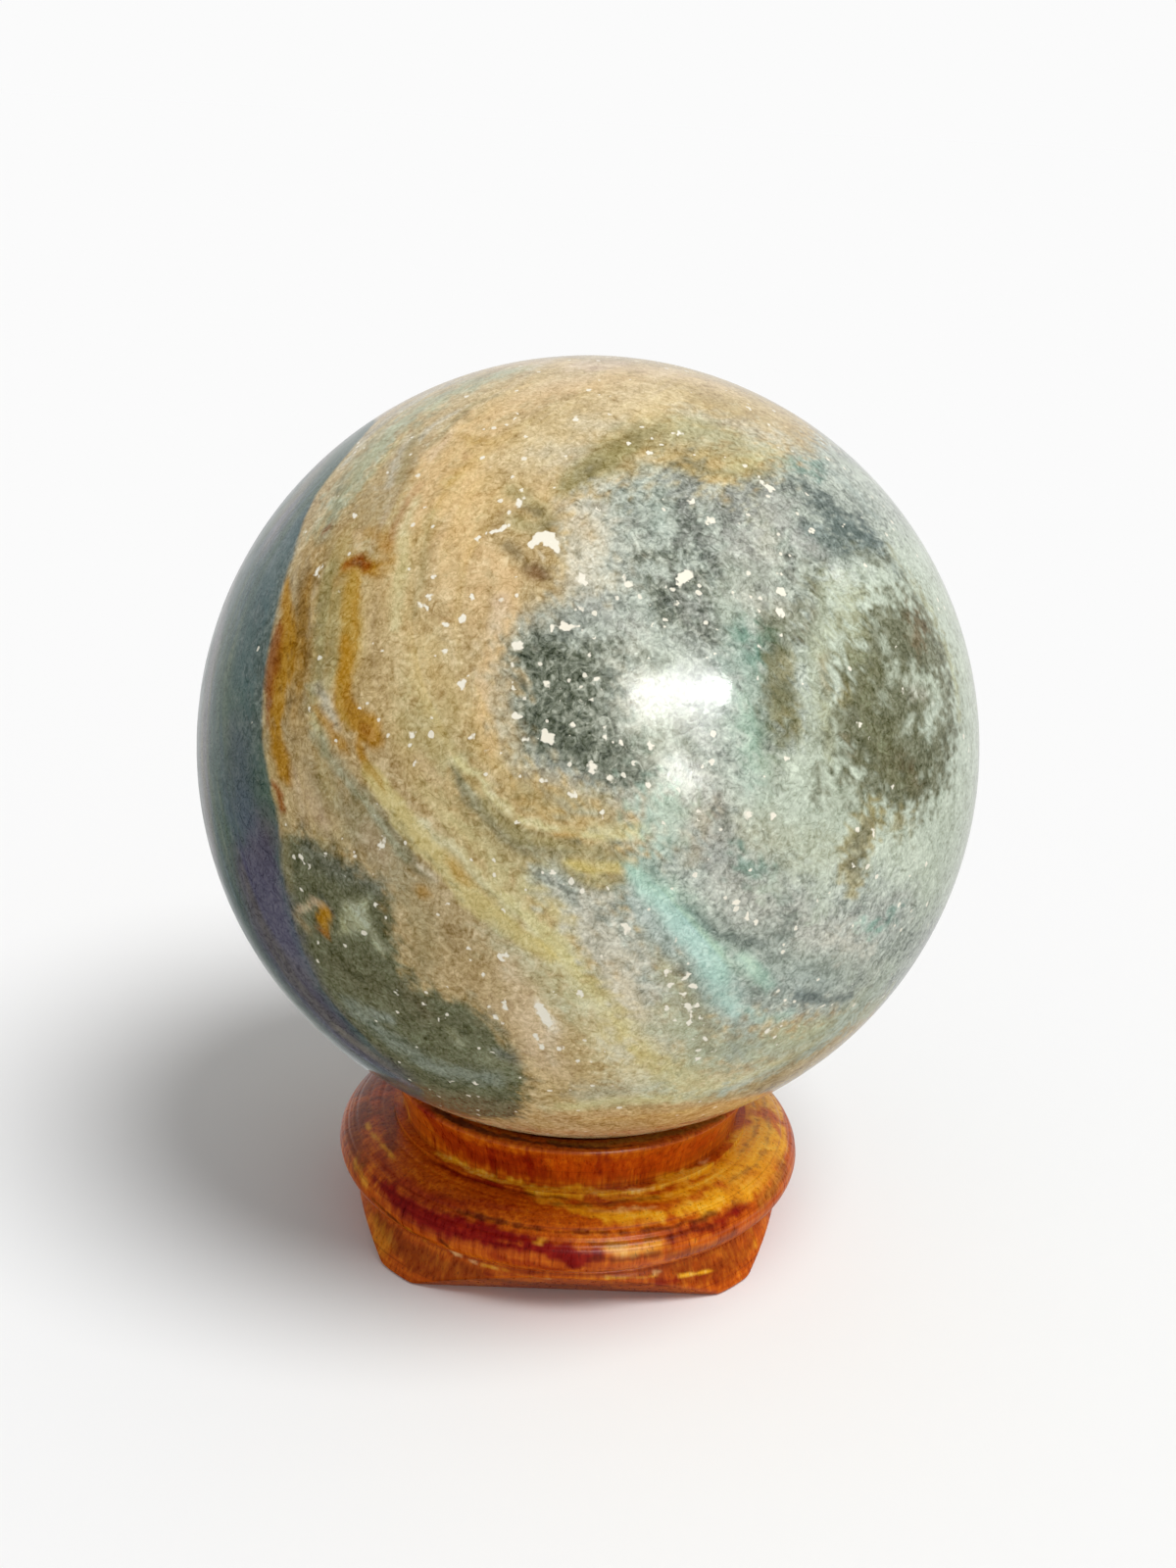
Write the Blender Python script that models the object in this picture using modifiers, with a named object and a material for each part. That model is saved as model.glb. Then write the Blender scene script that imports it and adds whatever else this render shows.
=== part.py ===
"""A polished stone sphere resting on a small turned wooden stand.

Metres, +Z up. The origin is on the stand's axis, at the middle of its underside.
"""

from math import cos, pi, radians, sin, sqrt

import bmesh
import bpy
from mathutils import Matrix, Vector

# The stone
BALL_RADIUS = 0.0380
BALL_SEGMENTS = 64
BALL_RINGS = 32

# The gap that keeps the two touching pieces apart
SEAT_GAP = 0.0003

# The neck: a short collar with a dish in its top, in which the ball sits
STAND_HEIGHT = 0.0161
SEAT_RADIUS = 0.0169
NECK_TOP_RADIUS = 0.0190
NECK_FOOT_RADIUS = 0.0176
RIM_ROUNDING = 0.0004

# The thin fillet at the foot of the neck, and the fat bead below it
FILLET_RADIUS = 0.0186
FILLET_TOP = 0.0111
SHOULDER_TOP = 0.0107
BEAD_RADIUS = 0.0242
BEAD_HEIGHT = 0.0071

# The quirk is the narrow groove that parts the bead from the foot
QUIRK_RADIUS = 0.0220
QUIRK_TOP = 0.0050
QUIRK_BOTTOM = 0.0048

# The foot: turned round, then planed flat on four sides at a slant, so that it stands square
FOOT_TOP_RADIUS = 0.0223
FOOT_FLOOR_RADIUS = 0.0240
FOOT_EASING = 0.0004
FLAT_FLOOR_HALF_WIDTH = 0.0183
FLAT_SLANT = 0.99

TURNING_STEPS = 72
SMOOTH_ANGLE = radians(35)


def ball_centre_height():
    """Where the ball's centre comes to rest above the rim of its seat."""
    clear_radius = BALL_RADIUS + SEAT_GAP
    return STAND_HEIGHT + sqrt(clear_radius**2 - SEAT_RADIUS**2)


def arc(centre, radius_x, radius_z, start_deg, end_deg, steps):
    """Points of an elliptical arc in the XZ plane, both ends included."""
    points = []
    for step in range(steps + 1):
        angle = radians(start_deg + (end_deg - start_deg) * step / steps)
        points.append((centre[0] + radius_x * cos(angle), centre[1] + radius_z * sin(angle)))
    return points


def dish_points(steps):
    """The seat, turned to the ball's own curve, from the axis out to the rim."""
    clear_radius = BALL_RADIUS + SEAT_GAP
    centre_height = ball_centre_height()
    points = []
    for step in range(steps + 1):
        x = SEAT_RADIUS * step / steps
        points.append((x, centre_height - sqrt(clear_radius**2 - x**2)))
    return points


def neck_points(steps):
    """The collar's side, which tapers down in a shallow hollow."""
    top = STAND_HEIGHT - RIM_ROUNDING
    points = []
    for step in range(1, steps + 1):
        part = step / steps
        ease = sin(part * pi / 2)
        radius = NECK_TOP_RADIUS + (NECK_FOOT_RADIUS - NECK_TOP_RADIUS) * ease
        points.append((radius, top + (FILLET_TOP - top) * part))
    return points


def turned_profile():
    """The stand's half section, from the axis in the dish down to the axis on the floor."""
    rim_centre = (NECK_TOP_RADIUS - RIM_ROUNDING, STAND_HEIGHT - RIM_ROUNDING)
    shoulder_centre = (FILLET_RADIUS, BEAD_HEIGHT)
    underside_centre = (QUIRK_RADIUS, BEAD_HEIGHT)
    foot_top_centre = (FOOT_TOP_RADIUS - FOOT_EASING, QUIRK_BOTTOM - FOOT_EASING)
    profile = dish_points(7)
    profile += arc(rim_centre, RIM_ROUNDING, RIM_ROUNDING, 90, 0, 2)
    profile += neck_points(4)
    profile += [(FILLET_RADIUS, FILLET_TOP)]
    shoulder_width = BEAD_RADIUS - FILLET_RADIUS
    profile += arc(shoulder_centre, shoulder_width, SHOULDER_TOP - BEAD_HEIGHT, 90, 0, 8)
    underside_width = BEAD_RADIUS - QUIRK_RADIUS
    profile += arc(underside_centre, underside_width, BEAD_HEIGHT - QUIRK_TOP, 0, -90, 5)[1:]
    profile += arc(foot_top_centre, FOOT_EASING, FOOT_EASING, 90, 0, 2)
    profile += [(FOOT_FLOOR_RADIUS, FOOT_EASING)]
    profile += [(FOOT_FLOOR_RADIUS - FOOT_EASING, 0.0), (0.0, 0.0)]
    return profile


def new_collection(name):
    collection = bpy.data.collections.new(name)
    bpy.context.scene.collection.children.link(collection)
    return collection


def new_material(name, color, roughness):
    material = bpy.data.materials.new(name)
    material.use_nodes = True
    shader = material.node_tree.nodes["Principled BSDF"]
    shader.inputs["Base Color"].default_value = (*color, 1.0)
    shader.inputs["Roughness"].default_value = roughness
    shader.inputs["Metallic"].default_value = 0.0
    return material


def new_object(name, mesh, collection):
    obj = bpy.data.objects.new(name, mesh)
    collection.objects.link(obj)
    return obj


def turned_mesh(name, profile):
    """A wire of the half section, ready for a Screw modifier about Z."""
    bm = bmesh.new()
    verts = [bm.verts.new((x, 0.0, z)) for x, z in profile]
    for upper, lower in zip(verts, verts[1:]):
        bm.edges.new((upper, lower))
    mesh = bpy.data.meshes.new(name)
    bm.to_mesh(mesh)
    bm.free()
    return mesh


def add_screw(obj):
    screw = obj.modifiers.new("Turning", "SCREW")
    screw.axis = "Z"
    screw.angle = 2 * pi
    screw.steps = TURNING_STEPS
    screw.render_steps = TURNING_STEPS
    screw.use_merge_vertices = True
    screw.merge_threshold = 0.00001


def planed_sides_mesh(name):
    """A four-sided taper whose slanting sides are the foot's flats. It clears all above them."""
    height = STAND_HEIGHT + FOOT_EASING
    floor_radius = FLAT_FLOOR_HALF_WIDTH * sqrt(2)
    top_radius = floor_radius + FLAT_SLANT * height * sqrt(2)
    bm = bmesh.new()
    bmesh.ops.create_cone(bm, cap_ends=True, segments=4, radius1=floor_radius,
                          radius2=top_radius, depth=height)
    bmesh.ops.rotate(bm, matrix=Matrix.Rotation(pi / 4, 3, "Z"), verts=bm.verts)
    bmesh.ops.translate(bm, vec=Vector((0.0, 0.0, height / 2)), verts=bm.verts)
    mesh = bpy.data.meshes.new(name)
    bm.to_mesh(mesh)
    bm.free()
    return mesh


def shade_round(mesh):
    mesh.shade_smooth()
    mesh.set_sharp_from_angle(angle=SMOOTH_ANGLE)


def build_stand(parts, helpers):
    """The stand is one piece of wood: turned all over, then planed on four sides at its foot."""
    sides = new_object("planed_sides", planed_sides_mesh("planed_sides"), helpers)
    sides.hide_render = True
    sides.display_type = "WIRE"

    stand = new_object("wooden_stand", turned_mesh("wooden_stand", turned_profile()), parts)
    add_screw(stand)
    planing = stand.modifiers.new("Planing", "BOOLEAN")
    planing.operation = "INTERSECT"
    planing.solver = "EXACT"
    planing.object = sides
    stand.data.materials.append(new_material("red_varnished_wood", (0.30, 0.065, 0.008), 0.28))
    return stand


def build_ball(parts):
    """The ball rests in the dish by its own weight and can be lifted off."""
    bm = bmesh.new()
    bmesh.ops.create_uvsphere(bm, u_segments=BALL_SEGMENTS, v_segments=BALL_RINGS,
                              radius=BALL_RADIUS)
    mesh = bpy.data.meshes.new("stone_sphere")
    bm.to_mesh(mesh)
    bm.free()
    shade_round(mesh)
    ball = new_object("stone_sphere", mesh, parts)
    ball.location = (0.0, 0.0, ball_centre_height())
    ball.data.materials.append(new_material("polished_stone", (0.27, 0.26, 0.17), 0.12))
    return ball


def main():
    for obj in list(bpy.data.objects):
        bpy.data.objects.remove(obj, do_unlink=True)
    parts = new_collection("decorative_sphere")
    helpers = new_collection("helpers")
    build_stand(parts, helpers)
    build_ball(parts)


main()
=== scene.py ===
# %% [markdown]
# # A polished stone sphere on a turned wooden stand
# The real object has two pieces: a ball of banded, speckled rock with a glassy polish, and a small
# turned stand of red-stained, varnished wood in whose dish the ball rests. The shapes are plain,
# so most of the likeness is in the two finishes. Each finish is painted on its piece the way a
# faux-marble painter works: soft strokes of a few named mixtures, laid over each other, and then a
# grain that breaks every stroke up into mineral grains or wood fibres.

# %% Load the frame
from math import acos, atan, atan2, cos, hypot, pi, radians, sin, sqrt, tan

import bmesh
import bpy
import numpy as np
from mathutils import Matrix, Vector, noise
from mathutils.bvhtree import BVHTree


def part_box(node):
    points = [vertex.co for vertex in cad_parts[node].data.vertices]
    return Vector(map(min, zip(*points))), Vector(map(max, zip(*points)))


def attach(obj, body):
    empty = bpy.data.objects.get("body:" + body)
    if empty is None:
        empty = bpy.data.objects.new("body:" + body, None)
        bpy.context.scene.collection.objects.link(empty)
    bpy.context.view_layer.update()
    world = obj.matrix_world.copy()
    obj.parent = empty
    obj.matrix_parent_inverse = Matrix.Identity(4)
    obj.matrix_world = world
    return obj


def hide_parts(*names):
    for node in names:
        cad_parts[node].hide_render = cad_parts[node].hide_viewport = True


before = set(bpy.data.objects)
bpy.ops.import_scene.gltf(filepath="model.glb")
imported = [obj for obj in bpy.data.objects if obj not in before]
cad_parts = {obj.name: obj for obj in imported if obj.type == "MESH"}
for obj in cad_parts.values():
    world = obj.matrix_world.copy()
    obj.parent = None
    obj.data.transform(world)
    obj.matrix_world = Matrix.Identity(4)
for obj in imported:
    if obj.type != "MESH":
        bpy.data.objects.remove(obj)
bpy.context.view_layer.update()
BALL_LOW, BALL_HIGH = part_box("stone_sphere")
_, STAND_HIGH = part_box("wooden_stand")
BALL_RADIUS = (BALL_HIGH.z - BALL_LOW.z) / 2
BALL_CENTRE = Vector((0.0, 0.0, (BALL_HIGH.z + BALL_LOW.z) / 2))
print("ball radius", round(BALL_RADIUS, 5), "centre height", round(BALL_CENTRE.z, 5))
print("stand height", round(STAND_HIGH.z, 5))

# %% [markdown]
# ## The camera
# The ball's outline in the photograph is a circle, so the camera's distance can't be read from it.
# The stand gives the rest: how far it is foreshortened says how steeply the camera looks down, and
# its lean says how far the camera was rolled. The camera looks at a point a little under the ball's
# centre, because the ball sits above the middle of the picture.

# %% Camera
PHOTO_SIZE = (1200, 1600)
BALL_IN_PHOTO = (600.0, 763.5)
BALL_RADIUS_IN_PHOTO = 399.4
CAMERA_DISTANCE = 5.0 * BALL_RADIUS
CAMERA_HEIGHT_ANGLE = radians(19.0)
CAMERA_TURN = radians(-1.5)
CAMERA_ROLL = radians(2.92)
SENSOR = 36.0
MM = 1000.0
PIXEL_MM = MM * BALL_RADIUS / BALL_RADIUS_IN_PHOTO
FOCAL_PIXELS = BALL_RADIUS_IN_PHOTO * sqrt((CAMERA_DISTANCE / BALL_RADIUS) ** 2 - 1)


def camera_matrix():
    """Where the camera stands: it faces the ball, rolled, and then dips below the ball's centre."""
    side = Vector((sin(CAMERA_TURN), -cos(CAMERA_TURN), 0.0)) * cos(CAMERA_HEIGHT_ANGLE)
    place = BALL_CENTRE + (side + Vector((0.0, 0.0, sin(CAMERA_HEIGHT_ANGLE)))) * CAMERA_DISTANCE
    facing = (BALL_CENTRE - place).to_track_quat("-Z", "Y").to_matrix()
    dip = atan((PHOTO_SIZE[1] / 2 - BALL_IN_PHOTO[1]) / FOCAL_PIXELS)
    turned = facing @ Matrix.Rotation(CAMERA_ROLL, 3, "Z") @ Matrix.Rotation(-dip, 3, "X")
    return Matrix.Translation(place) @ turned.to_4x4()


camera = bpy.data.objects.new("camera", bpy.data.cameras.new("camera"))
bpy.context.scene.collection.objects.link(camera)
camera.data.sensor_width = SENSOR
camera.data.lens = SENSOR * FOCAL_PIXELS / PHOTO_SIZE[1]
camera.matrix_world = camera_matrix()
bpy.context.scene.camera = camera
print("lens", round(camera.data.lens, 2), "mm")

# %% [markdown]
# ## From the photograph to the surface
# Every stroke below is given in pixels of the photograph. A line of sight from the camera through
# such a pixel meets the piece in one point. That point is then found on a flat map of the piece,
# as on a map of the earth, so that a stroke becomes a plain line on paper with a width in mm.

# %% Lines of sight
TO_WORLD = camera_matrix()
EYE = TO_WORLD.translation


def sight(x, y):
    """The direction from the camera through a pixel of the photograph."""
    local = Vector(((x - PHOTO_SIZE[0] / 2) / FOCAL_PIXELS,
                    (PHOTO_SIZE[1] / 2 - y) / FOCAL_PIXELS, -1.0))
    return (TO_WORLD.to_3x3() @ local).normalized()


def in_photo(place):
    """The pixel at which a place is seen."""
    local = TO_WORLD.inverted() @ Vector(place)
    return (PHOTO_SIZE[0] / 2 - FOCAL_PIXELS * local.x / local.z,
            PHOTO_SIZE[1] / 2 + FOCAL_PIXELS * local.y / local.z)


print("ball centre seen at", [round(v, 1) for v in in_photo(BALL_CENTRE)])

# %% [markdown]
# The ball's map has the point that faces the camera in its middle, and every other point at its
# true distance and direction from there. The photograph shows a little under half of the ball. The
# bands of a real rock run on around it, so the far side repeats the near side's mixtures, folded
# over at the outline, where the two meet without a seam. A twist that grows towards the far pole
# and a broad wobble make its shapes different, as the other side of a folded rock is.

# %% The ball's map
FAR_TWIST = radians(95.0)
FAR_WOBBLE_MM = 6.5
FAR_WOBBLE_SIZE_MM = 17.0
FAR_WOBBLE_RISE = 5.0
RADIUS_MM = MM * BALL_RADIUS
CENTRE_MM = MM * np.array(BALL_CENTRE)
LIMB = acos(BALL_RADIUS / CAMERA_DISTANCE)
BEYOND_LIMB_PER_PIXEL = radians(0.5)
SEED_STEPS = (7.3, 3.1, 5.7)
NOISE_SEED = 11
TOWARD = (EYE - BALL_CENTRE).normalized()
ACROSS = (TO_WORLD.to_3x3() @ Vector((1.0, 0.0, 0.0)))
ACROSS = (ACROSS - TOWARD * ACROSS.dot(TOWARD)).normalized()
ABOVE = TOWARD.cross(ACROSS)
noise.seed_set(NOISE_SEED)  # without it, each run would wobble in its own way


def wobble(points, size, seed):
    """A smooth noise vector at each point. Its waves are about size mm long."""
    shift = Vector([seed * step for step in SEED_STEPS])
    return np.array([noise.noise_vector(Vector(p) / size + shift) for p in points])


def ball_map(points):
    """Map places in mm of points on the ball, the far side folded over the near side."""
    unit = (points - CENTRE_MM) / RADIUS_MM
    tilt = np.arccos(np.clip(unit @ np.array(TOWARD), -1, 1))
    turn = np.arctan2(unit @ np.array(ABOVE), unit @ np.array(ACROSS))
    beyond = np.clip((tilt - LIMB) / (pi - LIMB), 0, 1)
    tilt = np.where(beyond > 0, LIMB * (1 - beyond), tilt)
    turn = turn + FAR_TWIST * beyond
    flat = RADIUS_MM * np.stack([tilt * np.cos(turn), tilt * np.sin(turn)], 1)
    push = FAR_WOBBLE_MM * np.clip(beyond * FAR_WOBBLE_RISE, 0, 1)[:, None]
    return flat + push * wobble(points, FAR_WOBBLE_SIZE_MM, 3)[:, :2]


def past_ball(x, y):
    """A pixel's line of sight, how far ahead it passes the ball's centre, and its miss of it."""
    ray = sight(x, y)
    toward_centre = BALL_CENTRE - EYE
    ahead = toward_centre.dot(ray)
    return ray, ahead, toward_centre - ray * ahead


def met_on_ball(ray, ahead, miss):
    """The unit vector from the ball's centre to the point where a line of sight meets the ball."""
    inside = BALL_RADIUS**2 - miss.length_squared
    return (EYE + ray * (ahead - sqrt(inside)) - BALL_CENTRE) / BALL_RADIUS


def pixel_on_ball(x, y):
    """The map place of a pixel. Past the outline the map simply goes on outwards."""
    ray, ahead, miss = past_ball(x, y)
    if miss.length_squared < BALL_RADIUS**2:
        unit = met_on_ball(ray, ahead, miss)
        tilt = acos(max(-1.0, min(1.0, unit.dot(TOWARD))))
    else:
        unit = -miss
        past = hypot(x - BALL_IN_PHOTO[0], y - BALL_IN_PHOTO[1]) - BALL_RADIUS_IN_PHOTO
        tilt = LIMB + max(0.0, past) * BEYOND_LIMB_PER_PIXEL
    turn = atan2(unit.dot(ABOVE), unit.dot(ACROSS))
    return RADIUS_MM * tilt * cos(turn), RADIUS_MM * tilt * sin(turn)


print("outline", round(RADIUS_MM * LIMB, 1), "mm from the middle of the map")

# %% [markdown]
# ## Laying strokes over each other
# A stroke is either a line, whose points have a half width each, or an outline, whose points have
# none. Its edge is soft, and a little noise makes it ragged, because nature doesn't draw clean
# edges. Each stroke carries a mixture, and a mixture has a dark, a middle and a light grain colour.
# Three colours a point are enough for the shader to pick grains from later, at any fineness.

# %% Painting helpers
RAG_LEAST_MM = 0.12
RAG_SHARE = 0.45
FAR_OFF = 1e9
TINY = 1e-9


def linear(colour):
    """Linear values of an sRGB colour given as 0 to 255."""
    share = np.array(colour, float) / 255
    return np.where(share <= 0.04045, share / 12.92, ((share + 0.055) / 1.055) ** 2.4)


def off_segment(points, a, b):
    """Distance of each point from a to b, and its share of the way along."""
    along = b - a
    share = np.clip((points - a) @ along / max(along @ along, TINY), 0, 1)
    return np.linalg.norm(points - a - share[:, None] * along, axis=1), share


def off_line(points, line, widths):
    """How far each point lies outside a line with a width, less than zero inside it."""
    best = np.linalg.norm(points - line[0], axis=1) - widths[0]
    for a, b, wide_a, wide_b in zip(line, line[1:], widths, widths[1:]):
        gap, share = off_segment(points, a, b)
        best = np.minimum(best, gap - wide_a - share * (wide_b - wide_a))
    return best


def off_outline(points, outline):
    """How far each point lies outside a closed outline, less than zero inside it."""
    best = np.full(len(points), FAR_OFF)
    inside = np.zeros(len(points), bool)
    for a, b in zip(outline, np.roll(outline, -1, axis=0)):
        best = np.minimum(best, off_segment(points, a, b)[0])
        spans = (points[:, 1] < a[1]) != (points[:, 1] < b[1])
        rise = b[1] - a[1] if b[1] != a[1] else TINY
        inside ^= spans & (points[:, 0] < a[0] + (points[:, 1] - a[1]) / rise * (b[0] - a[0]))
    return np.where(inside, -best, best)


def off_stroke(points, to_map, stroke):
    """How far each point lies outside a stroke given in pixels: a line or an outline."""
    line = np.array([to_map(*point[:2]) for point in stroke])
    if len(stroke[0]) == 2:
        return off_outline(points, line)
    return off_line(points, line, [PIXEL_MM * point[2] for point in stroke])


def paint(values, points, rag, to_map, strokes, mixtures):
    """Lays each stroke's mixture over what the strokes before it left."""
    for name, softness, strength, stroke in strokes:
        soft = softness * PIXEL_MM
        gap = off_stroke(points, to_map, stroke) + rag * (RAG_LEAST_MM + RAG_SHARE * soft)
        cover = np.clip(0.5 - gap / soft, 0, 1)
        cover = strength * cover * cover * (3 - 2 * cover)
        touched = np.nonzero(cover)[0]
        values[touched] += cover[touched, None] * (mixtures[name] - values[touched])


print("one pixel is", round(PIXEL_MM, 3), "mm at the ball")

# %% [markdown]
# ## The ball
# The ball is one solid sphere of rock. A sphere made from a finely cut cube has faces of nearly the
# same size everywhere and no poles, which suits a pattern stored at its points. The cube's grid is
# spread by a tangent first, so that the squares near its corners don't end up smaller.

# %% Ball mesh
BALL_CUTS = 127
BROAD_WOBBLE_MM = 0.35
BROAD_WOBBLE_SIZE_MM = 4.2
FINE_WOBBLE_MM = 0.25
FINE_WOBBLE_SIZE_MM = 1.6
COARSE_RAG = 1.1
COARSE_RAG_SIZE_MM = 0.95
FINE_RAG_SIZE_MM = 0.5


def ball_mesh():
    """A cube, finely cut and blown up to the ball."""
    bm = bmesh.new()
    bmesh.ops.create_cube(bm, size=2.0)
    bmesh.ops.subdivide_edges(bm, edges=bm.edges[:], cuts=BALL_CUTS, use_grid_fill=True)
    for vert in bm.verts:
        spread = Vector([tan(c * pi / 4) for c in vert.co])
        vert.co = BALL_CENTRE + spread.normalized() * BALL_RADIUS
    bmesh.ops.recalc_face_normals(bm, faces=bm.faces[:])
    mesh = bpy.data.meshes.new("ball")
    bm.to_mesh(mesh)
    bm.free()
    mesh.shade_smooth()
    return mesh


def new_piece(name, mesh):
    """A finished piece of the object, with its origin at the world's origin."""
    piece = bpy.data.objects.new(name, mesh)
    bpy.context.scene.collection.objects.link(piece)
    return piece


def points_of(mesh):
    """The mesh's points, in mm."""
    flat = np.empty(len(mesh.vertices) * 3, np.float32)
    mesh.vertices.foreach_get("co", flat)
    return flat.reshape(-1, 3).astype(float) * MM


def store(mesh, name, values):
    """Keeps three numbers a point on the mesh, for the shader to read."""
    layer = mesh.attributes.new(name, "FLOAT_VECTOR", "POINT")
    layer.data.foreach_set("vector", np.ascontiguousarray(values, np.float32).ravel())


ball = new_piece("polished_ball", ball_mesh())
ball_points = points_of(ball.data)
ball_places = ball_map(ball_points)
broad_push = BROAD_WOBBLE_MM * wobble(ball_points, BROAD_WOBBLE_SIZE_MM, 1)
fine_push = FINE_WOBBLE_MM * wobble(ball_points, FINE_WOBBLE_SIZE_MM, 2)
stone_places = ball_places + (broad_push + fine_push)[:, :2]
coarse_rag = COARSE_RAG * wobble(ball_points, COARSE_RAG_SIZE_MM, 4)[:, 0]
stone_rag = coarse_rag + wobble(ball_points, FINE_RAG_SIZE_MM, 5)[:, 0]
print("ball", len(ball.data.vertices), "points", len(ball.data.polygons), "faces")

# %% [markdown]
# ## Mixtures of the rock
# Each mixture is the dark, middle and light grain colour that is seen in one kind of spot on the
# ball, as 0 to 255. Two more numbers say how streaky it is, from even grains (0) to long streaks
# along the bands (1), and how many pale crystals it holds.

# %% Stone mixtures
STONE = {
    "sand": ((160, 132, 82), (193, 169, 119), (218, 198, 152), 0.4, 0.35),
    "peach": ((204, 170, 116), (220, 188, 134), (232, 204, 150), 0.5, 0.2),
    "blush": ((188, 160, 124), (216, 191, 150), (236, 214, 174), 0.6, 0.1),
    "cream": ((194, 174, 132), (212, 191, 149), (226, 208, 166), 0.4, 0.3),
    # bone rock, and also painted sheen along the upper left outline
    "bone": ((158, 158, 142), (195, 193, 176), (218, 216, 200), 0.0, 0.4),
    "straw": ((190, 175, 122), (214, 206, 156), (230, 225, 180), 0.6, 0.1),
    "lemon": ((184, 162, 90), (210, 192, 122), (226, 212, 148), 0.8, 0.0),
    "mustard": ((160, 124, 40), (182, 146, 66), (200, 172, 100), 0.4, 0.0),
    "amber": ((146, 98, 8), (176, 126, 24), (194, 150, 60), 0.4, 0.1),
    "rust": ((120, 56, 0), (146, 76, 8), (164, 104, 30), 0.3, 0.0),
    "umber": ((78, 68, 42), (104, 92, 64), (136, 124, 96), 0.1, 0.1),
    "moss": ((88, 90, 68), (118, 120, 96), (148, 152, 130), 0.0, 0.08),
    "olive": ((134, 124, 78), (160, 150, 105), (188, 180, 136), 0.4, 0.1),
    "sage": ((152, 150, 112), (178, 180, 146), (202, 210, 178), 0.6, 0.1),
    "grey_sage": ((166, 142, 98), (184, 164, 122), (202, 192, 160), 0.7, 0.2),
    "tan": ((160, 134, 88), (186, 161, 113), (212, 188, 140), 0.2, 0.3),
    # mint rock, and at a few places also painted glow and reflection
    "mint": ((160, 168, 148), (190, 200, 182), (212, 222, 204), 0.1, 0.1),
    "turquoise": ((148, 182, 166), (176, 210, 194), (204, 232, 216), 0.5, 0.0),
    "teal": ((72, 108, 94), (102, 138, 121), (140, 170, 156), 0.1, 0.1),
    "speckled": ((64, 70, 58), (112, 118, 102), (170, 174, 158), 0.0, 1.0),
    "forest": ((88, 90, 64), (108, 108, 80), (126, 130, 100), 0.0, 0.22),
    "charcoal": ((72, 75, 69), (106, 109, 101), (148, 151, 143), 0.0, 0.5),
    "slate": ((70, 84, 78), (96, 109, 102), (134, 148, 141), 0.2, 0.1),
    "silver": ((126, 134, 124), (170, 178, 166), (204, 212, 198), 0.0, 0.4),
    "lavender": ((136, 138, 132), (166, 168, 160), (192, 196, 186), 0.0, 0.4),
    "steel": ((130, 142, 130), (160, 173, 162), (192, 204, 194), 0.2, 0.2),
    "band_teal": ((64, 88, 82), (84, 106, 99), (110, 124, 118), 1.0, 0.0),
    "band_blue": ((72, 86, 98), (86, 98, 108), (102, 113, 120), 1.0, 0.0),
    "band_violet": ((80, 76, 90), (96, 93, 105), (114, 112, 120), 1.0, 0.0),
    # grey of the rock's outer skin, and also painted sheen along the ball's outline
    "grey_band_and_rim_sheen": ((114, 113, 114), (134, 131, 131), (156, 151, 145), 1.0, 0.0),
    # milky pale rock, and also painted glow round the bright marks
    "milk": ((212, 196, 160), (238, 226, 196), (250, 244, 226), 0.0, 0.0),
}


GRAINS = {"grain_dark": slice(0, 3), "grain_middle": slice(3, 6), "grain_light": slice(6, 9)}
STREAKINESS = 9
SPECKS = 10


def mixture_values(mixture):
    """The eleven numbers of a mixture, its colours in linear light."""
    dark, middle, light, streak, specks = mixture
    return np.concatenate([linear(dark), linear(middle), linear(light), [streak, specks]])


STONE_VALUES = {name: mixture_values(mixture) for name, mixture in STONE.items()}
print(len(STONE), "stone mixtures")

# %% [markdown]
# ## Broad areas of the rock
# The painter grounds the whole ball in sand and starts with the broad areas: the silvery grey of
# the right half and the pale green beyond it, and the outer skin of the upper left, where the pale
# C of peach and cream sweeps down from the top. Each line has a mixture, the softness of its edge
# in pixels, its strength, and its points as x, y and, for a line, half width, all in pixels of the
# photograph.

# %% Broad strokes
stone = np.tile(STONE_VALUES["sand"], (len(ball_points), 1))


def lay(title, strokes, rag=1.0, places=stone_places):
    """Paints strokes on the ball. The rag says how ragged their edges are."""
    paint(stone, places, rag * stone_rag, pixel_on_ball, strokes, STONE_VALUES)
    print(title, len(strokes), "strokes")


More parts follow.
